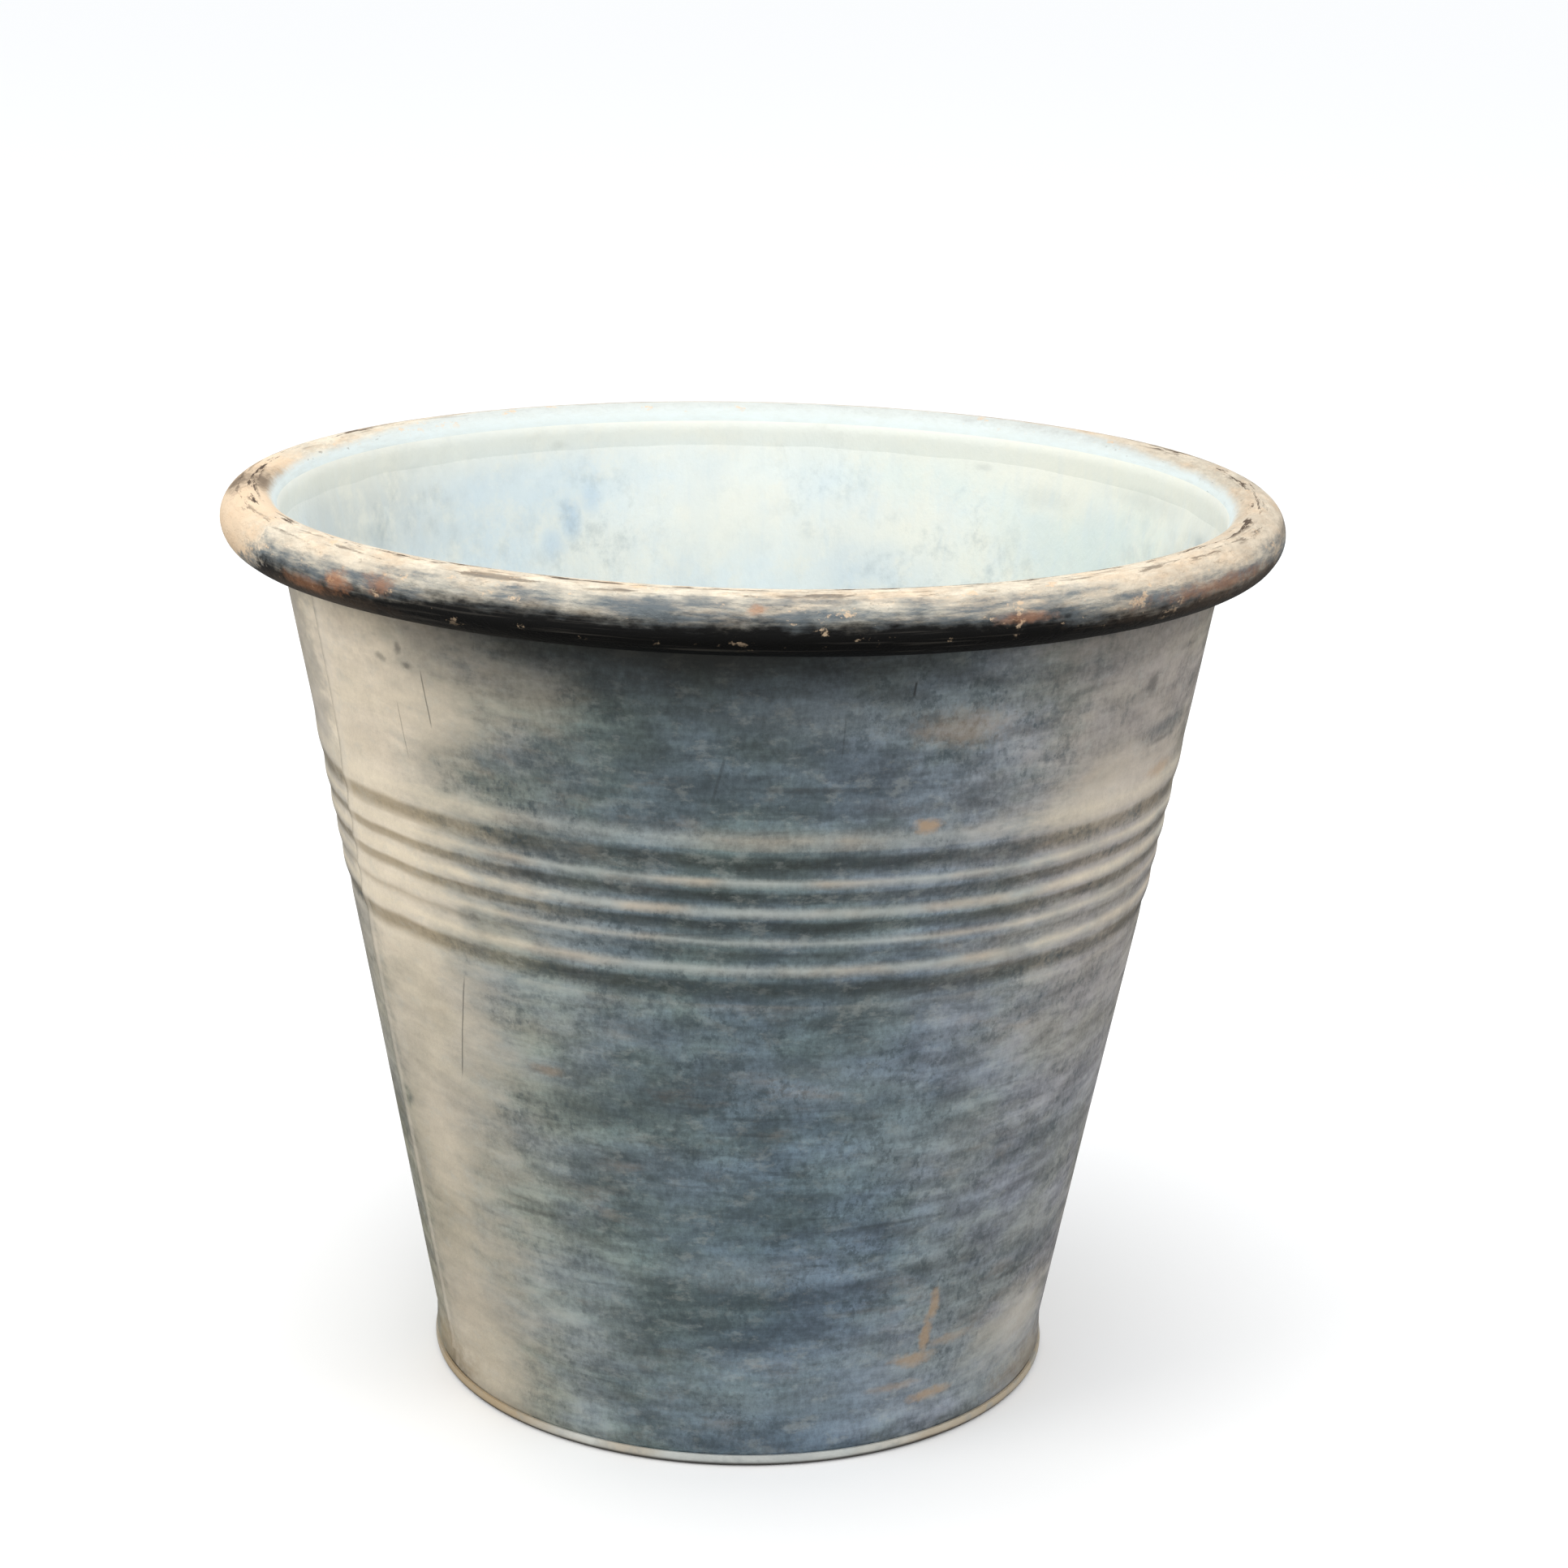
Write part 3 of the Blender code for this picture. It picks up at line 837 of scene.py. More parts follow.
    def _marks(self, coat: Coat, color: Socket) -> Socket:
        """Rust, soot and hairlines, the painted shadow under the rim and beside the lap's edge, and the
        dirt that gathers along the foot.

        Args:
            coat: The material in the making.
            color: The colour so far.

        Returns:
            The new colour.
        """
        graph = coat.graph
        height = coat.place.outputs["Height"]
        fine = graph.plus(coat.ragged(self.mark_edge), coat.ragged(self.mark_fringe))
        color = graph.tint(color, self.tan, coat.stains(self.tan_marks, fine))
        color = graph.tint(color, self.soot_and_shade, coat.stains(self.soot_marks, fine))
        lines = coat.hairlines(self.hairlines, coat.ragged(self.line_breaks))
        color = graph.tint(color, self.soot_and_shade, lines)
        # Painted shadow of the roll on the wall below it
        shade = coat.stains(self.under_rim_painted_shadow, graph.times(fine, 0.22))
        color = graph.tint(color, self.under_rim_shadow_tone, shade, Blend.DARKEN)
        seam = graph.span(height, *self.seam_heights, *self.seam_turns)
        off = graph.fused(fine, 0.35, graph.minus(coat.place.outputs["Turn"], seam))
        # Painted shadow that the lap's edge casts on the sheet beside it
        lap_shadow = graph.span(graph.math("ABSOLUTE", graph.plus(off, 0.35)), *self.lap_shadow_reach)
        color = graph.tint(color, self.lap_shadow_tone, lap_shadow)
        rubbed = graph.span(graph.apart(off, 1.1), *self.seam_edge_reach)
        color = graph.tint(color, self.seam_edge, rubbed)
        return graph.tint(color, self.straw, coat.stains(self.foot_marks, fine))

    def dress(self, effects: Effects) -> Material:
        """Makes the material.

        Args:
            effects: The shared node groups.

        Returns:
            The material.
        """
        coat = Coat("zinc_patina", effects)
        graph = coat.graph
        color = self._zones(coat, self._ground(coat))
        color = self._rings(coat, color)
        color, grain = self._rubs(coat, color)
        color = self._marks(coat, color)
        mottle = coat.rubbed(self.mottle)
        roughness = graph.span(mottle, *self.roughness)
        metallic = graph.span(mottle, *self.metallic)
        relief = graph.fused(grain, 0.6, graph.times(mottle, 0.8))
        return coat.finish(color, roughness, metallic, relief, 0.00014)


@dataclass(frozen=True)
class PaleLining:
    """Inside of the wall: pale chalky zinc, blue to the left, partly the rim's painted shadow there,
    cream-green to the right, with faint runs.
    """

    frost: Tone = (229, 238, 239)
    mist: Tone = (208, 220, 225)
    cream: Tone = (240, 237, 223)
    leaf: Tone = (220, 227, 214)
    ash: Tone = (196, 194, 184)
    sky: Tone = (178, 204, 226)
    slate: Tone = (150, 164, 168)
    waterline: Tone = (150, 150, 136)
    silt: Tone = (168, 160, 140)
    waterline_mm: float = 62.0
    # The first mist zone, at the back left, is the rim's painted shadow on the inner wall; the others are
    # the lining's own blue
    mist_and_shadow_zones: tuple[Stain, ...] = (
        Stain(-140, 214, 16, 24, 0.6, 0.8), Stain(-60, 160, 30, 80, 0.6, 0.8),
        Stain(126, 206, 16, 18, 0.45, 0.9),
    )
    leaf_zones: tuple[Stain, ...] = (
        Stain(118, 190, 30, 70, 0.7, 0.8), Stain(148, 226, 16, 10, 0.5, 0.9),
        Stain(60, 150, 30, 60, 0.5, 0.8),
    )
    cream_zones: tuple[Stain, ...] = (
        Stain(160, 204, 18, 14, 0.7, 0.9), Stain(-176, 212, 12, 14, 0.65, 0.9),
        Stain(134, 228, 12, 8, 0.6, 0.9), Stain(104, 226, 12, 12, 0.5, 0.8),
        Stain(-156, 202, 7, 10, 0.5, 0.9),
    )
    ash_zones: tuple[Stain, ...] = (
        Stain(-114, 222, 16, 24, 0.6, 0.9), Stain(88, 220, 14, 18, 0.5, 0.9),
        Stain(-80, 200, 16, 40, 0.5, 0.9),
    )
    # The first three streaks are the bluish edge of the rim's painted shadow on the inner back wall; the
    # last is the lining's own blue
    shadow_edge_and_sky_streaks: tuple[Stain, ...] = (
        Stain(-153, 211, 1.2, 4.5, 0.6, 0.8), Stain(-150, 204, 1.4, 3.5, 0.45, 0.9),
        Stain(-156.5, 217, 1.2, 3.5, 0.4, 0.9), Stain(162, 196, 8, 7, 0.35, 0.9),
    )
    spots: tuple[Stain, ...] = (
        Stain(-152, 233, 1, 1.2, 0.45, 0.8), Stain(147, 230, 1.4, 1, 0.45, 0.8),
        Stain(99, 224, 2.4, 3, 0.4, 0.8), Stain(-128, 231, 1.2, 1.2, 0.25, 0.8),
        Stain(136, 224, 5, 3, 0.16, 0.9), Stain(116, 230, 7, 2.6, 0.3, 0.9),
        Stain(106, 214, 4, 5, 0.35, 0.9), Stain(-118, 216, 3, 2.4, 0.25, 0.9),
        Stain(20, 140, 3, 4, 0.4, 0.7), Stain(-30, 90, 3, 6, 0.4, 0.7),
    )
    # Noises that make its patches and fray their edges
    clouds: Grain = Grain(24, 24, 0.3, 0.7, 12.1, 5, 0.6)
    wide_edge: Fray = Fray(34, 30, 13.7, 0.9)
    zone_fringe: Fray = Fray(160, 150, 13.1, 0.5)
    warm_patches: Grain = Grain(90, 80, 0.46, 0.68, 14.4, 6, 0.7)
    runs: Grain = Grain(260, 9, 0.5, 0.72, 15, 3)
    mottle: Grain = Grain(150, 130, 0.46, 0.7, 16.3, 5, 0.7)
    mottle_patches: Grain = Grain(18, 18, 0.42, 0.62, 17.9, 3)
    dabs: Grain = Grain(48, 36, 0.44, 0.6, 20.4, 3, 0.5)
    spot_edge: Fray = Fray(180, 180, 18.2, 0.9)
    grain: Grain = Grain(700, 500, 0.3, 0.7, 19, 3, 0.6)
    # Steps over tone, noise, height or reach in mm, or degrees
    brow_part: Step = (222.0, 236.0)
    low_part: Step = (70.0, 12.0)
    waterline_reach: Step = (0.2, 2.6, 0.4, 0.0)
    roughness: Step = (0.0, 1.0, 0.55, 0.72)

    def dress(self, effects: Effects) -> Material:
        """Makes the material.

        Args:
            effects: The shared node groups.

        Returns:
            The material.
        """
        coat = Coat("pale_lining", effects)
        graph = coat.graph
        height = coat.place.outputs["Height"]
        clouds = coat.rubbed(self.clouds)
        color = graph.tint(linear(self.frost), self.mist, graph.times(clouds, 0.45))
        wide = coat.ragged(self.wide_edge)
        ragged = graph.plus(wide, coat.ragged(self.zone_fringe))
        for zones, tone in (
            (self.mist_and_shadow_zones, self.mist),
            (self.leaf_zones, self.leaf),
            (self.cream_zones, self.cream),
            (self.ash_zones, self.ash),
            (self.shadow_edge_and_sky_streaks, self.sky),
        ):
            color = graph.tint(color, tone, coat.stains(zones, ragged))
        warm = graph.times(coat.rubbed(self.warm_patches), 0.45)
        color = graph.tint(color, self.cream, warm)
        runs = graph.times(coat.rubbed(self.runs), 0.28)
        color = graph.tint(color, self.mist, runs)
        mottle = coat.rubbed(self.mottle)
        patchy = graph.fused(coat.rubbed(self.mottle_patches), 0.3, 0.08)
        color = graph.tint(color, self.slate, graph.times(mottle, patchy))
        dabs = coat.rubbed(self.dabs)
        color = graph.tint(color, self.sky, graph.times(dabs, 0.12))
        fine = coat.ragged(self.spot_edge)
        color = graph.tint(color, self.slate, coat.stains(self.spots, fine))
        brow = graph.span(graph.fused(wide, 8.0, height), *self.brow_part)
        color = graph.tint(color, self.cream, graph.times(brow, 0.6))
        low = graph.span(graph.fused(wide, 10.0, height), *self.low_part)
        color = graph.tint(color, self.silt, graph.times(low, 0.4))
        off = graph.apart(graph.fused(fine, 1.5, height), self.waterline_mm)
        line = graph.span(off, *self.waterline_reach)
        color = graph.tint(color, self.waterline, line)
        grain = coat.rubbed(self.grain)
        roughness = graph.span(clouds, *self.roughness)
        relief = graph.fused(grain, 0.4, graph.times(clouds, 0.6))
        return coat.finish(color, roughness, 0.05, relief, 0.0001)


@dataclass(frozen=True)
class WornRimPaint:
    """The roll: charcoal paint below, turning near-black on its underside as painted shade, rubbed off over
    the top to a cream ground with rust and chips.
    """

    coal: Tone = (24, 24, 24)
    # Near-black: painted shade on the roll's underside
    soot_and_shade: Tone = (6, 6, 6)
    steel: Tone = (88, 102, 112)
    haze: Tone = (136, 146, 146)
    cream: Tone = (229, 219, 200)
    peach: Tone = (228, 200, 168)
    frost: Tone = (219, 228, 228)
    rime: Tone = (206, 211, 208)
    ash: Tone = (202, 203, 192)
    lining: Tone = (237, 236, 224)
    umber: Tone = (86, 72, 60)
    rust: Tone = (172, 120, 86)
    crown_line: Tone = (150, 132, 118)
    scuff: Tone = (96, 92, 86)
    # Angles round the roll along which the cream ground flakes
    crown_deg: float = 93.0
    second_deg: float = 66.0
    # Degrees by which the paint's edge lies lower round the section
    worn: tuple[Stain, ...] = (
        Stain(-82, 236, 20, 40, 1, 0.35), Stain(-46, 236, 12, 40, 0.2, 0.8),
        Stain(62, 236, 28, 40, 0.3, 0.7), Stain(150, 236, 30, 40, 0.3, 0.8),
    )
    rust_marks: tuple[Stain, ...] = (
        Stain(-44.5, 236, 1.5, 2.2, 0.7, 0.8), Stain(-38.5, 238, 1.4, 2.2, 0.6, 0.8),
        Stain(-50, 233.5, 3, 1.6, 0.4, 0.8), Stain(0.5, 240, 0.8, 0.8, 0.6, 0.7),
        Stain(27, 236.5, 2.4, 1, 0.5, 0.8), Stain(53, 236, 8, 1.4, 0.4, 0.9),
        Stain(140, 232, 3, 2, 0.6, 0.8), Stain(-150, 233, 3, 2, 0.5, 0.8),
    )
    umber_marks: tuple[Stain, ...] = (
        Stain(-86, 242.4, 5, 1.6, 0.8, 0.8), Stain(-92, 240.5, 4, 2, 0.6, 0.8),
        Stain(58, 234, 16, 3, 0.5, 0.9), Stain(78, 239, 6, 2, 0.5, 0.9),
        Stain(96, 240, 40, 10, 0.24, 0.9), Stain(-50, 231, 9, 2, 0.6, 0.9),
    )
    # Noises that make its patches and fray their edges
    blotches: Grain = Grain(60, 160, 0.42, 0.66, 26, 6, 0.7)
    cloudy: Grain = Grain(170, 420, 0.3, 0.75, 26.6, 5, 0.75)
    flakes: Grain = Grain(56, 480, 0.52, 0.57, 28.1, 6, 0.72)
    pits: Grain = Grain(330, 620, 0.6, 0.7, 27.7, 4, 0.7)
    mark_edge: Fray = Fray(120, 160, 24.4, 0.9)
    mark_fringe: Fray = Fray(500, 700, 24.9, 0.8)
    edge_drift: Fray = Fray(40, 60, 21.3, 30)
    edge_strokes: Fray = Fray(60, 700, 22.6, 16)
    edge_fray: Fray = Fray(280, 420, 23.1, 18)
    streaks: Grain = Grain(64, 360, 0.34, 0.6, 25.2, 6, 0.68)
    scuffs: Grain = Grain(40, 1500, 0.56, 0.7, 29.3, 4)
    chips: Grain = Grain(170, 230, 0.6, 0.66, 30.4, 5, 0.7)
    relief_flakes: Grain = Grain(260, 420, 0.45, 0.6, 27.7, 4, 0.7)
    # Steps over tone, noise, height or reach in mm, or degrees
    back_turns: Step = (112.0, 146.0)
    cloudy_shade: Step = (0.0, 1.0, 0.78, 1.08)
    frosted_roll: Step = (118.0, 144.0)
    chalky_roll: Step = (104.0, 156.0)
    lining_roll: Step = (150.0, 180.0)
    crown_reach: Step = (18.0, 6.0)
    second_reach: Step = (12.0, 3.0)
    line_roll: Step = (94.0, 80.0, 0.0, 0.75)
    thick_edge: Step = (34.0, -6.0)
    thin_edge: Step = (74.0, 36.0)
    haze_edge: Step = (66.0, 30.0)
    # Where the painted shade on the roll's underside sets in
    underside_shade_roll: Step = (2.0, -36.0)
    chip_roll: Step = (-55.0, 5.0)
    outer_roll: Step = (150.0, 116.0)

    def _ground(self, coat: Coat, fine: Socket, bare: Socket) -> Socket:
        """The old cream ground, pale towards the inside, with flakes along the crown.

        Args:
            coat: The material in the making.
            fine: Value that breaks up edges.
            bare: Where the paint is gone.

        Returns:
            Its colour.
        """
        graph = coat.graph
        roll = coat.place.outputs["Roll"]
        blotches = coat.rubbed(self.blotches)
        ground = graph.tint(linear(self.cream), self.peach, graph.times(blotches, 0.6))
        ground = graph.tint(ground, self.peach, graph.times(bare, 0.75))
        back = graph.span(graph.math("ABSOLUTE", coat.place.outputs["Turn"]), *self.back_turns)
        front = graph.minus(1.0, back)
        cloudy = coat.rubbed(self.cloudy)
        shaded = graph.times(graph.minus(1.0, bare), front)
        shade = graph.grey(graph.span(cloudy, *self.cloudy_shade))
        ground = graph.layer(ground, shade, shaded, Blend.DARKEN)
        inner = graph.fused(fine, 7.0, roll)
        frosted = graph.span(graph.fused(back, 42.0, inner), *self.frosted_roll)
        chalky = graph.tint(linear(self.rime), self.frost, graph.span(inner, *self.chalky_roll))
        chalky = graph.tint(chalky, self.ash, graph.times(cloudy, 0.3))
        chalky = graph.tint(chalky, self.lining, graph.span(inner, *self.lining_roll))
        ground = graph.layer(ground, chalky, frosted)
        crown = graph.span(graph.apart(roll, self.crown_deg), *self.crown_reach)
        second = graph.span(graph.apart(roll, self.second_deg), *self.second_reach)
        flaked = graph.fused(graph.math("MAXIMUM", crown, graph.times(second, 0.6)), 0.95, 0.06)
        flakes = graph.times(coat.rubbed(self.flakes), flaked)
        flakes = graph.times(flakes, graph.fused(back, -0.8, 1.0))
        ground = graph.tint(ground, self.umber, flakes)
        pits = graph.times(coat.rubbed(self.pits), 0.45)
        ground = graph.tint(ground, self.umber, graph.times(pits, shaded))
        line = graph.span(inner, *self.line_roll)
        return graph.tint(ground, self.crown_line, graph.times(line, back))

    def dress(self, effects: Effects) -> Material:
        """Makes the material.

        Args:
            effects: The shared node groups.

        Returns:
            The material.
        """
        coat = Coat("worn_rim_paint", effects, unrolled=True)
        graph = coat.graph
        roll = coat.place.outputs["Roll"]
        fine = graph.plus(coat.ragged(self.mark_edge), coat.ragged(self.mark_fringe))
        worn = coat.stains(self.worn, graph.times(fine, 0.4))
        edge = graph.plus(coat.ragged(self.edge_drift), coat.ragged(self.edge_strokes))
        edge = graph.plus(graph.plus(edge, coat.ragged(self.edge_fray)), roll)
        edge = graph.fused(worn, 90.0, edge)
        thick = graph.span(edge, *self.thick_edge)
        streaks = coat.rubbed(self.streaks)
        thin = graph.times(graph.span(edge, *self.thin_edge), streaks)
        color = self._ground(coat, fine, worn)
        haze = graph.times(graph.span(edge, *self.haze_edge), 0.34)
        color = graph.tint(color, self.haze, haze)
        color = graph.tint(color, self.steel, graph.times(thin, 0.86))
        # Charcoal paint turning near-black towards the underside: painted shade
        paint = graph.tint(linear(self.coal), self.soot_and_shade, graph.span(roll, *self.underside_shade_roll))
        scuffs = graph.times(coat.rubbed(self.scuffs), 0.25)
        paint = graph.tint(paint, self.scuff, scuffs)
        color = graph.layer(color, paint, thick)
        left = graph.times(coat.rubbed(self.chips), graph.span(roll, *self.chip_roll))
        outer = graph.span(roll, *self.outer_roll)
        left = graph.times(left, outer)
        color = graph.tint(color, self.peach, graph.times(left, 0.75))
        smudges = graph.times(coat.stains(self.umber_marks, fine), outer)
        color = graph.tint(color, self.umber, smudges)
        rusty = graph.times(coat.stains(self.rust_marks, graph.times(fine, 1.5)), outer)
        color = graph.tint(color, self.rust, rusty)
        roughness = graph.fused(thick, -0.18, 0.74)
        flakes = coat.rubbed(self.relief_flakes)
        relief = graph.fused(thick, 0.9, graph.times(graph.times(flakes, outer), -0.6))
        coat.shader.inputs["Specular IOR Level"].default_value = 0.08
        return coat.finish(color, roughness, 0.0, relief, 0.0002)


@dataclass(frozen=True)
class BaseZinc:
    """The pan: bright zinc on its folded lip, partly a painted highlight, dull and silted on its floor,
    with painted shade and some grime along the ground where the fold turns under.
    """

    # Bright zinc of the lip: partly its own tone, partly a painted highlight along the fold
    bright: Tone = (226, 228, 223)
    dull: Tone = (160, 166, 166)
    straw: Tone = (184, 160, 122)
    # Painted shade, with some grime, along the lip's lower edge where the fold turns under
    underside_shade_and_grime: Tone = (62, 58, 54)
    silt: Tone = (150, 144, 128)
    corner_dirt: Tone = (112, 104, 88)
    rust: Tone = (146, 104, 70)
    straw_marks: tuple[Stain, ...] = (
        Stain(-60, 3, 26, 9, 0.85, 0.6), Stain(60, 3, 26, 7, 0.7, 0.6), Stain(-20, 3, 5, 4, 0.5, 0.8),
        Stain(165, 4, 14, 7, 0.6, 0.6),
    )
    # Noises that make its patches and fray their edges
    clouds: Grain = Grain(40, 40, 0.3, 0.7, 31, 5, 0.6)
    straw_edge: Fray = Fray(45, 120, 32.4, 0.8)
    rubbed_spots: Grain = Grain(180, 180, 0.52, 0.68, 33.5, 4)
    floor_dirt: Grain = Grain(26, 26, 0.3, 0.62, 34.8, 5, 0.6)
    rust_specks: Grain = Grain(90, 90, 0.62, 0.72, 35.5, 4)
    grain: Grain = Grain(900, 900, 0.3, 0.7, 36.1, 2)
    # Steps over tone, noise, height or reach in mm, or degrees
    # Height band of that painted shade at the lip's lower edge
    underside_shade_part: Step = (1.6, 0.7)
    floor_reach: Step = (84.0, 82.0)
    corner_reach: Step = (64.0, 82.0)
    roughness: Step = (0.0, 1.0, 0.42, 0.66)

    def dress(self, effects: Effects) -> Material:
        """Makes the material.

        Args:
            effects: The shared node groups.

        Returns:
            The material.
        """
        coat = Coat("base_zinc", effects)
        graph = coat.graph
        height = coat.place.outputs["Height"]
        reach = coat.place.outputs["Reach"]
        clouds = coat.rubbed(self.clouds)
        # Bright zinc, partly a painted highlight on the lip, clouded with dull zinc
        color = graph.tint(linear(self.bright), self.dull, graph.times(clouds, 0.6))
        wide = coat.ragged(self.straw_edge)
        color = graph.tint(color, self.straw, coat.stains(self.straw_marks, wide))
        rubbed = coat.rubbed(self.rubbed_spots)
        color = graph.tint(color, self.dull, graph.times(rubbed, 0.5))
        # Painted shade, with some grime, along the lip's lower edge
        low = graph.span(graph.fused(wide, 0.6, height), *self.underside_shade_part)
        color = graph.tint(color, self.underside_shade_and_grime, graph.times(low, 0.9))
        inside = graph.span(reach, *self.floor_reach)
        floor_dirt = graph.times(inside, coat.rubbed(self.floor_dirt))
        color = graph.tint(color, self.silt, floor_dirt)
        rim_dirt = graph.times(inside, graph.span(graph.fused(wide, 10.0, reach), *self.corner_reach))
        color = graph.tint(color, self.corner_dirt, graph.times(rim_dirt, 0.6))
        rust = graph.times(inside, coat.rubbed(self.rust_specks))
        color = graph.tint(color, self.rust, graph.times(rust, 0.6))
        grain = coat.rubbed(self.grain)
        roughness = graph.span(clouds, *self.roughness)
        relief = graph.fused(grain, 0.4, graph.times(clouds, 0.6))
        return coat.finish(color, roughness, 0.25, relief, 0.0001)


@dataclass(frozen=True)
class DullSolder:
    """Old solder: soft grey lumps with darker flux along their edges."""

    bright: Tone = (206, 212, 211)
    dark: Tone = (176, 182, 180)
    flux: Tone = (172, 160, 138)
    # Noises that make its patches and fray their edges
    lumps: Grain = Grain(220, 220, 0.3, 0.7, 41, 4)
    burnt: Grain = Grain(70, 70, 0.55, 0.7, 42, 4)
    # Steps over tone, noise, height or reach in mm, or degrees
    roughness: Step = (0.0, 1.0, 0.38, 0.6)

    def dress(self, effects: Effects) -> Material:
        """Makes the material.

        Args:
            effects: The shared node groups.

        Returns:
            The material.
        """
        coat = Coat("dull_solder", effects)
        graph = coat.graph
        lumps = coat.rubbed(self.lumps)
        color = graph.tint(linear(self.bright), self.dark, lumps)
        burnt = graph.times(coat.rubbed(self.burnt), 0.6)
        color = graph.tint(color, self.flux, burnt)
        roughness = graph.span(lumps, *self.roughness)
        return coat.finish(color, roughness, 0.1, lumps, 0.00025)


@dataclass(frozen=True)
class DrawnSteel:
    """The hoop inside the roll: drawn steel with rust bloom."""

    bare: Tone = (120, 116, 112)
    bloom: Tone = (132, 84, 54)
    # Noises that make its patches and fray their edges
    drawn: Grain = Grain(30, 1400, 0.3, 0.7, 51, 3)
    bloom_patches: Grain = Grain(60, 60, 0.45, 0.65, 52, 5)
    # Steps over tone, noise, height or reach in mm, or degrees
    roughness: Step = (0.0, 1.0, 0.4, 0.85)

    def dress(self, effects: Effects) -> Material:
        """Makes the material.

        Args:
            effects: The shared node groups.

        Returns:
            The material.
        """
        coat = Coat("drawn_steel", effects)
        graph = coat.graph
        drawn = coat.rubbed(self.drawn)
        bloom = coat.rubbed(self.bloom_patches)
        color = graph.tint(linear(self.bare), self.bloom, bloom)
        roughness = graph.span(bloom, *self.roughness)
        return coat.finish(color, roughness, 0.6, drawn, 0.0001)


# ---- Meshes ----


def smooth(share: float) -> float:
    """A smooth step from 0 to 1, held outside."""
    held = max(0.0, min(1.0, share))
    return held * held * (3 - 2 * held)


def rise(z: float, step: Spot) -> float:
    """A smooth step up with height: its start and its length."""
    return smooth((z - step[0]) / step[1])


def fall(z: float, step: Spot) -> float:
    """A smooth step down with height: its end and its length."""
    return smooth((step[0] - z) / step[1])


def offset_sides(path: Sequence[Spot], thickness: float) -> tuple[list[Spot], list[Spot]]:
    """The two faces of a sheet whose middle follows a path.

    Args:
        path: Points of the middle as (radius, height).
        thickness: Sheet thickness.

    Returns:
        The points to the left of travel and those to its right.
    """
    middle = np.array(path)
    steps = np.diff(middle, axis=0)
    steps /= np.linalg.norm(steps, axis=1)[:, None]
    before = np.vstack([steps[:1], steps])
    after = np.vstack([steps, steps[-1:]])
    normals = np.stack([-before[:, 1], before[:, 0]], 1)
    others = np.stack([-after[:, 1], after[:, 0]], 1)
    mitre = normals + others
    mitre /= np.linalg.norm(mitre, axis=1)[:, None]
    reach = thickness / 2 / (mitre * normals).sum(1)
    left = middle + mitre * reach[:, None]
    right = middle - mitre * reach[:, None]
    return [tuple(p) for p in left.tolist()], [tuple(p) for p in right.tolist()]


def rounded(path: Sequence[Spot], radius: float, steps: int = 4) -> list[Spot]:
    """Rounds each corner of an open path.

    Args:
        path: Points as (radius, height).
        radius: How far from each corner the round starts.
        steps: Points along each round.

    Returns:
        The rounded path.
    """
    points = [path[0]]
    for before, here, after in zip(path, path[1:], path[2:]):
        start = Vector(before) - Vector(here)
        end = Vector(after) - Vector(here)
        cut = min(radius, start.length * 0.45, end.length * 0.45)
        first = Vector(here) + start.normalized() * cut
        last = Vector(here) + end.normalized() * cut
        for i in range(steps + 1):
            t = i / steps
            point = first * (1 - t) ** 2 + Vector(here) * (2 * t * (1 - t)) + last * t**2
            points.append((point.x, point.y))
    points.append(path[-1])
    return points


def piece_of(
    name: str,
    points: Sequence[Point],
    faces: Sequence[Face],
    materials: Sequence[Material],
    indices: Sequence[int] | None = None,
) -> Object:
    """Makes a smooth-shaded mesh object with outward faces.

    Args:
        name: The piece's name.
        points: Its vertices.
        faces: Its faces.
        materials: Its material slots.
        indices: Each face's slot number.

    Returns:
        The object.
    """
    mesh = bpy.data.meshes.new(name)
    mesh.from_pydata(points, [], faces)
    for material in materials:
        mesh.materials.append(material)
    if indices is not None:
        mesh.polygons.foreach_set("material_index", indices)
    mesh.polygons.foreach_set("use_smooth", [True] * len(mesh.polygons))
    mesh.update()
    obj = bpy.data.objects.new(name, mesh)
    bpy.context.scene.collection.objects.link(obj)
    return obj


def place_piece(obj: Object, node: str) -> None:
    """Lets a piece ride on the bucket and stand for its CAD node.

    Args:
        obj: The piece.
        node: The CAD node that it replaces.
    """
    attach(obj, BODY)
    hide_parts(node)
    LOG.info("%s: %d faces, stands for %s", obj.name, len(obj.data.polygons), node)


def shade_sharp(obj: Object, degrees: float) -> None:
    """Keeps edges over an angle sharp while the rest is shaded smooth.

    Args:
        obj: The piece.
        degrees: The angle.
    """
    obj.data.set_sharp_from_angle(angle=math.radians(degrees))


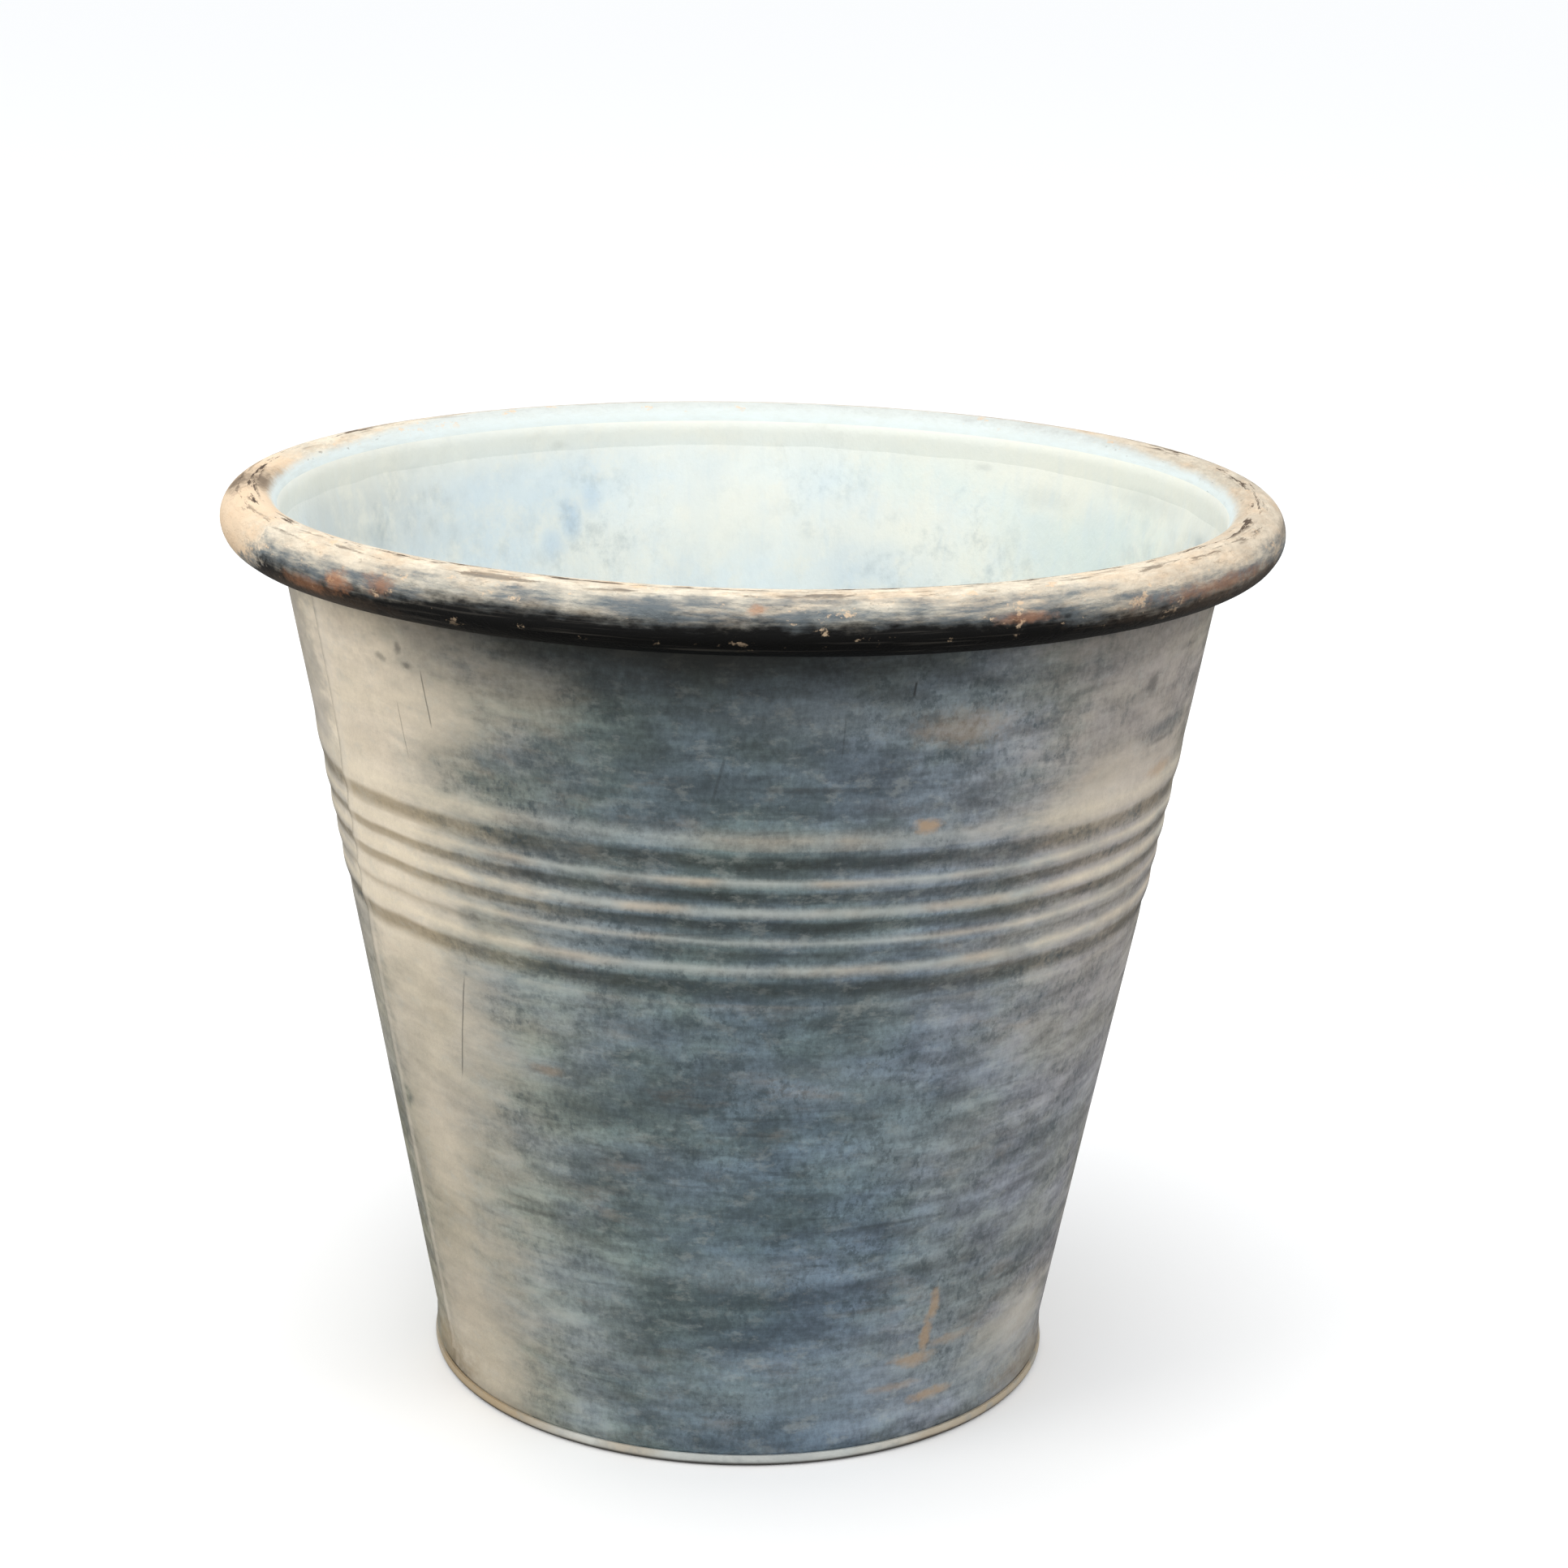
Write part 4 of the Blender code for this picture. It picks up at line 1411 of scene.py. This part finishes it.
@dataclass(frozen=True)
class HandMade:
    """The small unevenness of a hand-worked sheet, the same for every piece that follows the wall."""

    dent: float = 0.35 * MM
    ring_tilt: float = 1.3 * MM
    rim_wave: float = 0.6 * MM
    skew_low_deg: float = 0.8
    skew_high_deg: float = 4.7
    # Where each unevenness sets in and how far it takes to, in metres of height
    skew_rise: Spot = (0.110, 0.100)
    dent_rise: Spot = (0.014, 0.03)
    dent_fall: Spot = (0.222, 0.02)
    ring_rise: Spot = (0.060, 0.065)
    ring_fall: Spot = (0.215, 0.03)
    rim_rise: Spot = (0.200, 0.03)

    def twist(self, z: float) -> float:
        """How far the wall is turned at a height, in radians, so that its seam leans."""
        share = rise(z, self.skew_rise)
        return math.radians(self.skew_low_deg + (self.skew_high_deg - self.skew_low_deg) * share)

    def move(self, x: float, y: float, z: float, seam: bool = False) -> Point:
        """Moves one point of the ideal bucket to where the real sheet has it.

        Args:
            x: Place along X.
            y: Place along Y.
            z: Height.
            seam: Whether the piece turns with the leaning seam.

        Returns:
            The moved point.
        """
        radius = math.hypot(x, y)
        if radius < 1e-6:
            return x, y, z
        angle = math.atan2(y, x) + (self.twist(z) if seam else 0.0)
        window = rise(z, self.dent_rise) * fall(z, self.dent_fall)
        bump = noise.noise(Vector((9 * math.cos(angle), 9 * math.sin(angle), 22 * z))) * 0.12
        bump += noise.noise(Vector((2.2 * math.cos(angle), 2.2 * math.sin(angle), 9 * z + 5)))
        radius += self.dent * window * bump
        rings = rise(z, self.ring_rise) * fall(z, self.ring_fall)
        front_turn = math.atan2(math.cos(angle), -math.sin(angle))
        z -= self.ring_tilt * math.sin(front_turn) * rings
        rim = rise(z, self.rim_rise)
        z += self.rim_wave * rim * (0.6 * math.sin(2 * angle + 0.6) + 0.4 * math.sin(3 * angle + 1.9)) * 0.5
        return radius * math.cos(angle), radius * math.sin(angle), z


@dataclass
class BucketShape:
    """The bucket's driving sizes, as its CAD holds them."""

    rim_radius: float = 140.0 * MM
    height: float = 243.6 * MM
    sheet: float = 0.8 * MM
    fit_gap: float = 0.3 * MM
    roll_radius: float = 7.8 * MM
    foot_radius: float = 85.1 * MM
    foot_z: float = 11.9 * MM
    top_radius: float = 124.65 * MM
    top_z: float = 227.6 * MM
    tuck: float = 0.7 * MM
    pan_top_z: float = 11.8 * MM
    hand: HandMade = field(default_factory=HandMade)

    def cone_middle(self, z: float) -> float:
        """Radius of the middle of the wall's sheet at height z."""
        slope = (self.top_radius - self.foot_radius) / (self.top_z - self.foot_z)
        return self.foot_radius + slope * (z - self.foot_z) - self.sheet / 2 * math.sqrt(1 + slope * slope)

    def revolve(
        self,
        name: str,
        profile: Sequence[Spot],
        sides: int,
        materials: Sequence[Material],
        closed: bool = True,
        wave: float = 0.0,
        slots: Sequence[int] | None = None,
    ) -> Object:
        """Turns a profile round the bucket's axis, with the hand-made unevenness.

        Args:
            name: The piece's name.
            profile: Points as (radius, height), down the outer side.
            sides: Stations round the axis.
            materials: Its material slots.
            closed: Whether the profile closes on itself; if not, its ends lie on the axis.
            wave: Radius by which a fine noise moves the surface.
            slots: Slot number of each step of a closed profile.

        Returns:
            The piece.
        """
        points: list[Point] = []
        count = len(profile)
        for i in range(sides):
            angle = 2 * math.pi * i / sides
            for k, (radius, z) in enumerate(profile):
                across, along = 60 * radius * math.cos(angle), 60 * radius * math.sin(angle)
                lump = noise.noise(Vector((across, along, 60 * z + 3)))
                grown = radius + wave * lump if radius > 1e-6 else radius
                points.append(self.hand.move(grown * math.cos(angle), grown * math.sin(angle), z))
        faces: list[Face] = []
        for i in range(sides):
            one = i * count
            two = (i + 1) % sides * count
            for k in range(count if closed else count - 1):
                j = (k + 1) % count
                faces.append((one + k, one + j, two + j, two + k))
        if not closed:
            points, faces = weld_axis(points, faces)
        return piece_of(name, points, faces, materials, list(slots) * sides if slots else None)


def weld_axis(points: list[Point], faces: list[Face]) -> tuple[list[Point], list[Face]]:
    """Joins the points that lie on the axis at one height and drops the faces' doubled corners.

    Args:
        points: The vertices.
        faces: The faces.

    Returns:
        The new vertices and faces.
    """
    kept: list[Point] = []
    place: dict[Point, int] = {}
    index: list[int] = []
    for i, point in enumerate(points):
        on_axis = math.hypot(point[0], point[1]) < 1e-6
        key = (0.0, 0.0, round(point[2], 6)) if on_axis else (float(i), -1.0, -1.0)
        if key not in place:
            place[key] = len(kept)
            kept.append((0.0, 0.0, point[2]) if on_axis else point)
        index.append(place[key])
    clean: list[Face] = []
    for face in faces:
        corners = list(dict.fromkeys(index[i] for i in face))
        if len(corners) > 2:
            clean.append(tuple(corners))
    return kept, clean


@dataclass
class SideWall:
    """The wall: one tapered sheet with five swaged rings, lapped over its own edge and soldered inside."""

    shape: BucketShape
    sides: int = 300
    seam_deg: float = 204.0
    lap_deg: float = 4.0
    butt_deg: float = 0.25
    # Degrees before the seam, with the share of the lap's step reached there
    joggle: tuple[Spot, ...] = (
        (12.0, 0.0), (10.6, 0.06), (9.4, 0.25), (8.2, 0.55), (7.2, 0.84), (6.4, 0.97), (5.4, 1.0),
    )
    wall_edge_z: float = 1.3 * MM
    tuck_low_z: float = 3.4 * MM
    tuck_high_z: float = 4.3 * MM
    lap_low_z: float = 9.6 * MM
    straight_top_z: tuple[float, float] = (230.0 * MM, 228.0 * MM)
    straight_step: float = 3.0 * MM
    lap_fade: float = 4.0 * MM
    sharp_deg: float = 48.0
    ring_steps: int = 6
    hook_width: float = 7.0 * MM
    hook_rise: float = 1.0 * MM
    hook_bend: tuple[float, float] = (1.2 * MM, 1.9 * MM)
    # Height and relief of each ring's crest and of the hollows beside it, in mm
    ring_knots: tuple[tuple[float, float], ...] = (
        (184.5, 0.0), (176.2, 0.42), (171.0, 0.0), (166.0, 0.4), (162.0, 0.0), (158.2, 0.42),
        (154.2, 0.0), (150.3, 0.36), (146.8, 0.08), (142.0, 0.42), (137.0, -0.2), (132.0, 0.0),
    )

    def relief(self, z_mm: float) -> float:
        """How far the rings push the sheet out at a height.

        Args:
            z_mm: Height in mm.

        Returns:
            The relief in metres.
        """
        for (above, high), (below, low) in zip(self.ring_knots, self.ring_knots[1:]):
            if below <= z_mm <= above:
                return (low + (high - low) * smooth((z_mm - below) / (above - below))) * MM
        return 0.0

    def path(self) -> list[Spot]:
        """The middle of the sheet, from the hook down to its lower edge, as (radius, height)."""
        shape = self.shape
        turn_z = shape.height - shape.roll_radius + self.hook_rise
        turn_r = shape.cone_middle(turn_z)
        bend_r, bend_z = self.hook_bend
        path = [
            (turn_r + bend_r + self.hook_width, turn_z + bend_z),
            (turn_r + bend_r, turn_z + bend_z),
            (turn_r + 0.33 * bend_r, turn_z + 0.63 * bend_z),
            (turn_r, turn_z),
        ]
        top_z, next_z = self.straight_top_z
        levels = [top_z]
        top, bottom = self.ring_knots[0][0] * MM, self.ring_knots[-1][0] * MM
        levels += list(np.arange(next_z, top + 1.0 * MM, -self.straight_step))
        for (above, _), (below, _) in zip(self.ring_knots, self.ring_knots[1:]):
            levels += [(above + (below - above) * k / self.ring_steps) * MM for k in range(self.ring_steps)]
        levels += list(np.arange(bottom, shape.foot_z + 3.5 * MM, -self.straight_step))
        path += [(shape.cone_middle(z) + self.relief(z / MM), z) for z in levels]
        band = shape.foot_radius - shape.sheet / 2
        path += [(shape.cone_middle(shape.foot_z + 3.0 * MM), shape.foot_z + 3.0 * MM)]
        path += [(band + 0.12 * MM, shape.foot_z + 0.9 * MM), (band, shape.foot_z - 0.9 * MM)]
        path += [(band, self.lap_low_z), (band, self.tuck_high_z)]
        return path + [(band - shape.tuck, self.tuck_low_z), (band - shape.tuck, self.wall_edge_z)]

    def stations(self) -> list[Spot]:
        """Angles in degrees with their share of the lap step, from the inner edge round to the lap."""
        inner = self.seam_deg + self.lap_deg
        result = [(inner, 0.0), (self.seam_deg + self.lap_deg / 2, 0.0), (self.seam_deg, 0.0)]
        step = 360.0 / self.sides
        end = self.seam_deg - 360.0 + self.joggle[0][0]
        angle = self.seam_deg - step
        while angle > end + step / 2:
            result.append((angle, 0.0))
            angle -= step
        result += [(self.seam_deg - 360.0 + before, share) for before, share in self.joggle]
        return [*result, (inner - 360.0 + self.butt_deg, 1.0)]

    def fade(self, z: float) -> float:
        """The lap's share of its full step at a height: none inside the roll or the crimped foot."""
        low = (z - self.tuck_high_z) / (self.lap_low_z - self.tuck_high_z)
        high = (self.straight_top_z[0] - z) / self.lap_fade
        return max(0.0, min(1.0, low, high))

    def build(self, outside: Material, inside: Material) -> Object:
        """Lofts the lapped sheet station by station.

        Args:
            outside: Finish of the outer face.
            inside: Finish of the inner face.

        Returns:
            The piece.
        """
        lap = self.shape.sheet + self.shape.fit_gap
        path = self.path()
        outer, inner = offset_sides(path, self.shape.sheet)
        fades = [self.fade(z) for _, z in path]
        outline = [(r, z, f) for (r, z), f in zip(outer, fades)]
        outline += [(r, z, f) for (r, z), f in zip(reversed(inner), reversed(fades))]
        count, total = len(path), len(outline)
        points: list[Point] = []
        faces: list[Face] = []
        slots: list[int] = []

        def ring(chosen: Sequence[Point], degrees: float, step: float) -> list[int]:
            """Adds one station's points and returns their numbers."""
            start = len(points)
            cosine, sine = math.cos(math.radians(degrees)), math.sin(math.radians(degrees))
            for r, z, f in chosen:
                radius = r + step * f
                points.append(self.shape.hand.move(radius * cosine, radius * sine, z, seam=True))
            return list(range(start, len(points)))

        def face(corners: tuple[int, ...], slot: int) -> None:
            """Adds one face."""
            faces.append(corners)
            slots.append(slot)

        loops = [ring(outline, degrees, share * lap) for degrees, share in self.stations()]
        for one, two in zip(loops, loops[1:]):
            for i in range(total):
                j = (i + 1) % total
                face((one[i], two[i], two[j], one[j]), 0 if i < count else 1)
        for i in range(count - 1):
            j = total - 1 - i
            face((loops[0][i], loops[0][i + 1], loops[0][j - 1], loops[0][j]), 0)
        first = next(i for i, f in enumerate(fades) if f >= 1.0)
        last = max(i for i, f in enumerate(fades) if f >= 1.0)
        end = loops[-1]
        for i in list(range(first)) + list(range(last, count - 1)):
            j = total - 1 - i
            face((end[i], end[j], end[j - 1], end[i + 1]), 0)
        tongue_outline = outline[first : last + 1] + outline[total - 1 - last : total - first]
        tongue = ring(tongue_outline, self.seam_deg - 360.0, lap)
        root = end[first : last + 1] + end[total - 1 - last : total - first]
        width = len(tongue)
        for i in range(width):
            j = (i + 1) % width
            face((root[i], tongue[i], tongue[j], root[j]), 0)
        for i in range(last - first):
            j = width - 1 - i
            face((tongue[i], tongue[j], tongue[j - 1], tongue[i + 1]), 0)
        obj = piece_of("wall_sheet", points, faces, (outside, inside), slots)
        shade_sharp(obj, self.sharp_deg)
        place_piece(obj, "side_wall")
        return obj


@dataclass
class SeamSolder:
    """The run of solder inside, along the hidden edge of the lap."""

    wall: SideWall
    width_deg: float = 3.2
    end_taper: float = 9.0 * MM
    low_z: float = 14.0 * MM
    high_z: float = 226.5 * MM
    section: int = 7
    crown: float = 0.35 * MM
    uneven_width: float = 0.22
    uneven_crown: float = 0.8
    end_width: float = 0.35
    root_out: float = 0.75 * MM
    toe_out: float = 0.12 * MM

    def build(self, finish: Material) -> Object:
        """Lofts the run up the wall, its width and crown uneven.

        Args:
            finish: Its material.

        Returns:
            The piece.
        """
        shape = self.wall.shape
        path = [p for p in self.wall.path()[4:] if self.low_z < p[1] < self.high_z]
        inner = offset_sides(path, shape.sheet)[1]
        start = self.wall.seam_deg + self.wall.lap_deg + 2 * self.wall.butt_deg
        points: list[Point] = []
        for r, z in inner:
            uneven = noise.noise(Vector((0.3, 1.7, 90 * z)))
            ends = smooth(min(z - self.low_z, self.high_z - z) / self.end_taper)
            width = self.width_deg * (1 + self.uneven_width * uneven)
            width *= self.end_width + (1 - self.end_width) * ends
            crown = self.crown * (1 + self.uneven_crown * noise.noise(Vector((2.2, 0.4, 160 * z))))
            section = [(start, self.root_out)]
            for k in range(self.section):
                share = k / (self.section - 1)
                depth = -crown * math.sin(math.pi * min(1.0, 0.15 + share)) - 0.1 * MM * share
                section.append((start + width * share, depth))
            section.append((start + width * 0.8, self.toe_out))
            for degrees, out in section:
                angle = math.radians(degrees)
                x, y = (r + out) * math.cos(angle), (r + out) * math.sin(angle)
                points.append(shape.hand.move(x, y, z, seam=True))
        count = self.section + 2
        faces: list[Face] = []
        for i in range(len(inner) - 1):
            for k in range(count):
                j = (k + 1) % count
                faces.append((i * count + k, i * count + j, (i + 1) * count + j, (i + 1) * count + k))
        faces.append(tuple(reversed(range(count))))
        faces.append(tuple(range(len(points) - count, len(points))))
        obj = piece_of("seam_solder_run", points, faces, (finish,))
        shade_sharp(obj, 50.0)
        place_piece(obj, "seam_solder")
        return obj


@dataclass
class RolledRim:
    """The rim: a slotted roll of sheet round a steel hoop."""

    shape: BucketShape
    sides: int = 420
    steps: int = 56
    lip_deg: float = 180.0
    under_deg: float = -143.5
    lined_steps: int = 4
    wave: float = 0.12 * MM
    # The inner lip that runs down into the wall: how far below the roll's middle, how far out, how thick
    lip: tuple[tuple[float, float, float], ...] = (
        (6.4 * MM, 0.02 * MM, 0.16 * MM), (5.8 * MM, 0.0, 0.16 * MM), (5.0 * MM, 0.0, 0.2 * MM),
        (4.0 * MM, 0.0, 0.26 * MM), (3.0 * MM, 0.0, 0.36 * MM), (2.0 * MM, 0.0, 0.5 * MM),
        (1.0 * MM, 0.0, 0.66 * MM),
    )

    def build(
        self, paint: Material, lining: Material, steel: Material
    ) -> Object:
        """Turns the roll and gives the hoop its finish.

        Args:
            paint: Finish of the roll.
            lining: Finish of its inner lip, which carries on the wall's inside.
            steel: Finish of the hoop.

        Returns:
            The roll.
        """
        shape = self.shape
        middle_r = shape.rim_radius - shape.roll_radius
        middle_z = shape.height - shape.roll_radius
        radius = shape.roll_radius - shape.sheet / 2 - self.wave
        path = []
        for i in range(self.steps + 1):
            angle = math.radians(self.lip_deg + (self.under_deg - self.lip_deg) * i / self.steps)
            path.append((middle_r + radius * math.cos(angle), middle_z + radius * math.sin(angle)))
        outer, inner = offset_sides(path, shape.sheet)
        near_r = middle_r - radius - shape.sheet / 2
        outer = [(near_r + out, middle_z - down) for down, out, _ in self.lip] + outer
        inner = [(near_r + out + thick, middle_z - down) for down, out, thick in self.lip] + inner
        lined = len(self.lip) + self.lined_steps
        slots = [1] * lined + [0] * (2 * len(outer) - lined)
        profile = outer + inner[::-1]
        obj = shape.revolve("rolled_rim", profile, self.sides, (paint, lining), wave=self.wave, slots=slots)
        shade_sharp(obj, 50.0)
        place_piece(obj, "rim_roll")
        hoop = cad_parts["rim_wire"]
        hoop.data.materials.clear()
        hoop.data.materials.append(steel)
        LOG.info("rim_wire: CAD hoop kept inside the roll")
        return obj


@dataclass
class Base:
    """The base: a pan whose flange folds round the wall's lower edge, sealed with solder."""

    shape: BucketShape
    sides: int = 300
    lip_top_z: float = 3.1 * MM
    fold_corner: float = 0.6 * MM
    fold_rise: float = 0.72 * MM
    pan_bend: float = 1.3 * MM
    disc_end_mm: int = 78
    disc_step_mm: int = 6
    fillet_wave: float = 0.2 * MM

    def build_pan(self, finish: Material) -> Object:
        """Turns the pan with its folded lip.

        Args:
            finish: Its material.

        Returns:
            The piece.
        """
        shape = self.shape
        wall_r = shape.foot_radius - shape.sheet / 2 - shape.tuck
        flange_r = wall_r - shape.sheet - shape.fit_gap
        lip_r = wall_r + shape.sheet + shape.fit_gap
        disc_z = shape.pan_top_z - shape.sheet / 2
        fold_z = shape.sheet / 2
        corners = [
            (flange_r - 4.0 * MM, disc_z),
            (flange_r, disc_z),
            (flange_r, fold_z + self.fold_rise),
            (flange_r + self.fold_corner, fold_z),
            (lip_r - self.fold_corner, fold_z),
            (lip_r, fold_z + self.fold_rise),
            (lip_r + 0.12 * MM, self.lip_top_z * 0.6),
            (lip_r - 0.05 * MM, self.lip_top_z),
        ]
        disc = [(r * MM, disc_z) for r in range(0, self.disc_end_mm, self.disc_step_mm)]
        left, right = offset_sides(disc + rounded(corners, self.pan_bend), shape.sheet)
        obj = shape.revolve("base_pan", left + right[::-1], self.sides, (finish,), closed=False)
        shade_sharp(obj, 50.0)
        place_piece(obj, "bottom_pan")
        return obj

    def build_fillet(self, finish: Material) -> Object:
        """Turns the solder fillet between pan and wall.

        Args:
            finish: Its material.

        Returns:
            The piece.
        """
        shape = self.shape
        flange_out = shape.foot_radius - shape.sheet - shape.tuck - shape.fit_gap
        wall_in = shape.foot_radius - shape.sheet
        top = shape.pan_top_z + shape.fit_gap
        profile = [
            (wall_in - 0.35 * MM, top + 2.9 * MM),
            (wall_in - 0.3 * MM, top),
            (wall_in - 0.3 * MM, top - 3.6 * MM),
            (flange_out + 0.3 * MM, top - 3.6 * MM),
            (flange_out + 0.3 * MM, top - 1.2 * MM),
            (flange_out - 0.7 * MM, top),
            (flange_out - 1.3 * MM, top),
            (flange_out - 0.8 * MM, top + 0.5 * MM),
            (flange_out - 0.3 * MM, top + 1.1 * MM),
            (flange_out, top + 1.9 * MM),
        ]
        obj = shape.revolve("base_solder_fillet", profile, self.sides, (finish,), wave=self.fillet_wave)
        shade_sharp(obj, 60.0)
        place_piece(obj, "base_solder")
        return obj


# ---- Studio ----


@dataclass(frozen=True)
class SoftBox:
    """One soft area light aimed at the bucket."""

    name: str
    place: tuple[float, float, float]
    size: float
    power: float
    tone: tuple[float, float, float]

    def build(self, target: Vector) -> Object:
        """Hangs the light.

        Args:
            target: Where it points.

        Returns:
            The light.
        """
        data = bpy.data.lights.new(self.name, "AREA")
        data.shape = "DISK"
        data.size = self.size
        data.energy = self.power
        data.color = self.tone
        obj = bpy.data.objects.new(self.name, data)
        bpy.context.scene.collection.objects.link(obj)
        obj.location = self.place
        obj.rotation_mode = "QUATERNION"
        obj.rotation_quaternion = (target - Vector(self.place)).to_track_quat("-Z", "Y")
        LOG.info("light %s", self.name)
        return obj


@dataclass
class Studio:
    """A plain pale floor, a soft dome of light and soft boxes."""

    floor_radius: float = 60.0
    floor_tone: Tone = (252, 252, 252)
    bounce_tone: Tone = (164, 163, 160)
    dome_low: float = 0.84
    dome_high: float = 1.1
    dome_seen: float = 0.985
    dome_tone: Color = (0.97, 0.985, 1.0, 1.0)
    floor_sides: int = 96
    floor_rings: tuple[float, ...] = (1.0, 4.0, 16.0)
    boxes: tuple[SoftBox, ...] = (
        SoftBox("overhead_box", (-0.3, -0.1, 2.4), 1.6, 11.0, (1.0, 0.985, 0.96)),
        SoftBox("left_box", (-1.7, -0.9, 1.3), 1.2, 12.0, (1.0, 0.96, 0.9)),
        SoftBox("front_box", (0.4, -2.4, 1.0), 1.2, 8.0, (1.0, 0.99, 0.98)),
        SoftBox("right_box", (1.8, -0.8, 1.2), 1.2, 7.0, (1.0, 0.96, 0.93)),
    )

    def build_floor(self) -> Object:
        """Lays the floor, which looks pale but throws back little light."""
        points = [(0.0, 0.0, 0.0)]
        sides = self.floor_sides
        rings = (*self.floor_rings, self.floor_radius)
        for radius in rings:
            for i in range(sides):
                angle = 2 * math.pi * i / sides
                points.append((radius * math.cos(angle), radius * math.sin(angle), 0.0))
        faces: list[Face] = [(0, 1 + i, 1 + (i + 1) % sides) for i in range(sides)]
        for k in range(len(rings) - 1):
            a, b = 1 + k * sides, 1 + (k + 1) * sides
            faces += [(a + i, b + i, b + (i + 1) % sides, a + (i + 1) % sides) for i in range(sides)]
        material = bpy.data.materials.new("studio_floor")
        material.use_nodes = True
        graph = Graph(material.node_tree)
        shader = material.node_tree.nodes["Principled BSDF"]
        seen = graph.add("ShaderNodeLightPath").outputs["Is Camera Ray"]
        color = graph.tint(linear(self.bounce_tone), self.floor_tone, seen)
        graph.feed(shader.inputs["Base Color"], color)
        shader.inputs["Roughness"].default_value = 0.9
        shader.inputs["Specular IOR Level"].default_value = 0.0
        floor = piece_of("studio_floor", points, faces, (material,))
        LOG.info("studio_floor laid")
        return floor

    def build_dome(self) -> None:
        """Lights the world: soft at the horizon, brighter overhead."""
        world = bpy.data.worlds.new("soft_dome")
        bpy.context.scene.world = world
        world.use_nodes = True
        graph = Graph(world.node_tree)
        direction = graph.add("ShaderNodeTexCoord").outputs["Generated"]
        up = graph.add("ShaderNodeSeparateXYZ", {0: direction}).outputs[2]
        strength = graph.span(up, 0.0, 1.0, self.dome_low, self.dome_high)
        seen = graph.add("ShaderNodeLightPath").outputs["Is Camera Ray"]
        level = graph.fused(seen, graph.minus(self.dome_seen, strength), strength)
        background = world.node_tree.nodes["Background"]
        background.inputs["Color"].default_value = self.dome_tone
        graph.feed(background.inputs["Strength"], level)

    def build(self, target: Vector) -> None:
        """Builds the whole studio.

        Args:
            target: Where the lights point.
        """
        self.build_floor()
        self.build_dome()
        for box in self.boxes:
            box.build(target)
        settings = bpy.context.scene.view_settings
        settings.view_transform = "Standard"
        settings.look = "None"


@dataclass(frozen=True)
class Viewpoint:
    """The camera: where it stands and how it is turned."""

    distance: float = 0.8581
    height: float = 0.4027
    yaw: float = 0.01008
    pitch: float = 0.27248
    roll: float = 0.02188
    lens_mm: float = 75.35
    sensor_mm: float = 36.0
    clip: Spot = (0.01, 200.0)
    shift: Spot = (0.0021, -0.0056)

    def build(self) -> Object:
        """Sets up the camera.

        Returns:
            The camera.
        """
        data = bpy.data.cameras.new("viewpoint")
        data.lens = self.lens_mm
        data.sensor_width = self.sensor_mm
        data.shift_x, data.shift_y = self.shift
        data.clip_start, data.clip_end = self.clip
        flat = math.cos(self.pitch)
        forward = Vector((math.sin(self.yaw) * flat, math.cos(self.yaw) * flat, -math.sin(self.pitch)))
        level = Vector((math.cos(self.yaw), -math.sin(self.yaw), 0.0))
        above = level.cross(forward)
        right = level * math.cos(self.roll) + above * math.sin(self.roll)
        up = above * math.cos(self.roll) - level * math.sin(self.roll)
        turned = Matrix((right, up, -forward)).transposed()
        obj = bpy.data.objects.new("viewpoint", data)
        bpy.context.scene.collection.objects.link(obj)
        obj.rotation_mode = "QUATERNION"
        obj.rotation_quaternion = turned.to_quaternion()
        obj.location = (0.0, -self.distance, self.height)
        bpy.context.scene.camera = obj
        LOG.info("viewpoint set")
        return obj


def main() -> None:
    """Builds the bucket and its studio."""
    logging.basicConfig(level=logging.INFO, format="%(name)s: %(message)s")
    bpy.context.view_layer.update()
    _, rim_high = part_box("rim_roll")
    shape = BucketShape(rim_radius=rim_high.x, height=rim_high.z)
    roll = shape.roll_radius
    effects = Effects(roll, shape.rim_radius - roll, shape.height - roll)
    solder = DullSolder().dress(effects)
    wall = SideWall(shape)
    lining = PaleLining().dress(effects)
    wall.build(ZincPatina().dress(effects), lining)
    SeamSolder(wall).build(solder)
    RolledRim(shape).build(WornRimPaint().dress(effects), lining, DrawnSteel().dress(effects))
    base = Base(shape)
    base.build_pan(BaseZinc().dress(effects))
    base.build_fillet(solder)
    Studio().build(Vector((0.0, 0.0, shape.height / 2)))
    Viewpoint().build()


if __name__ == "__main__":
    main()
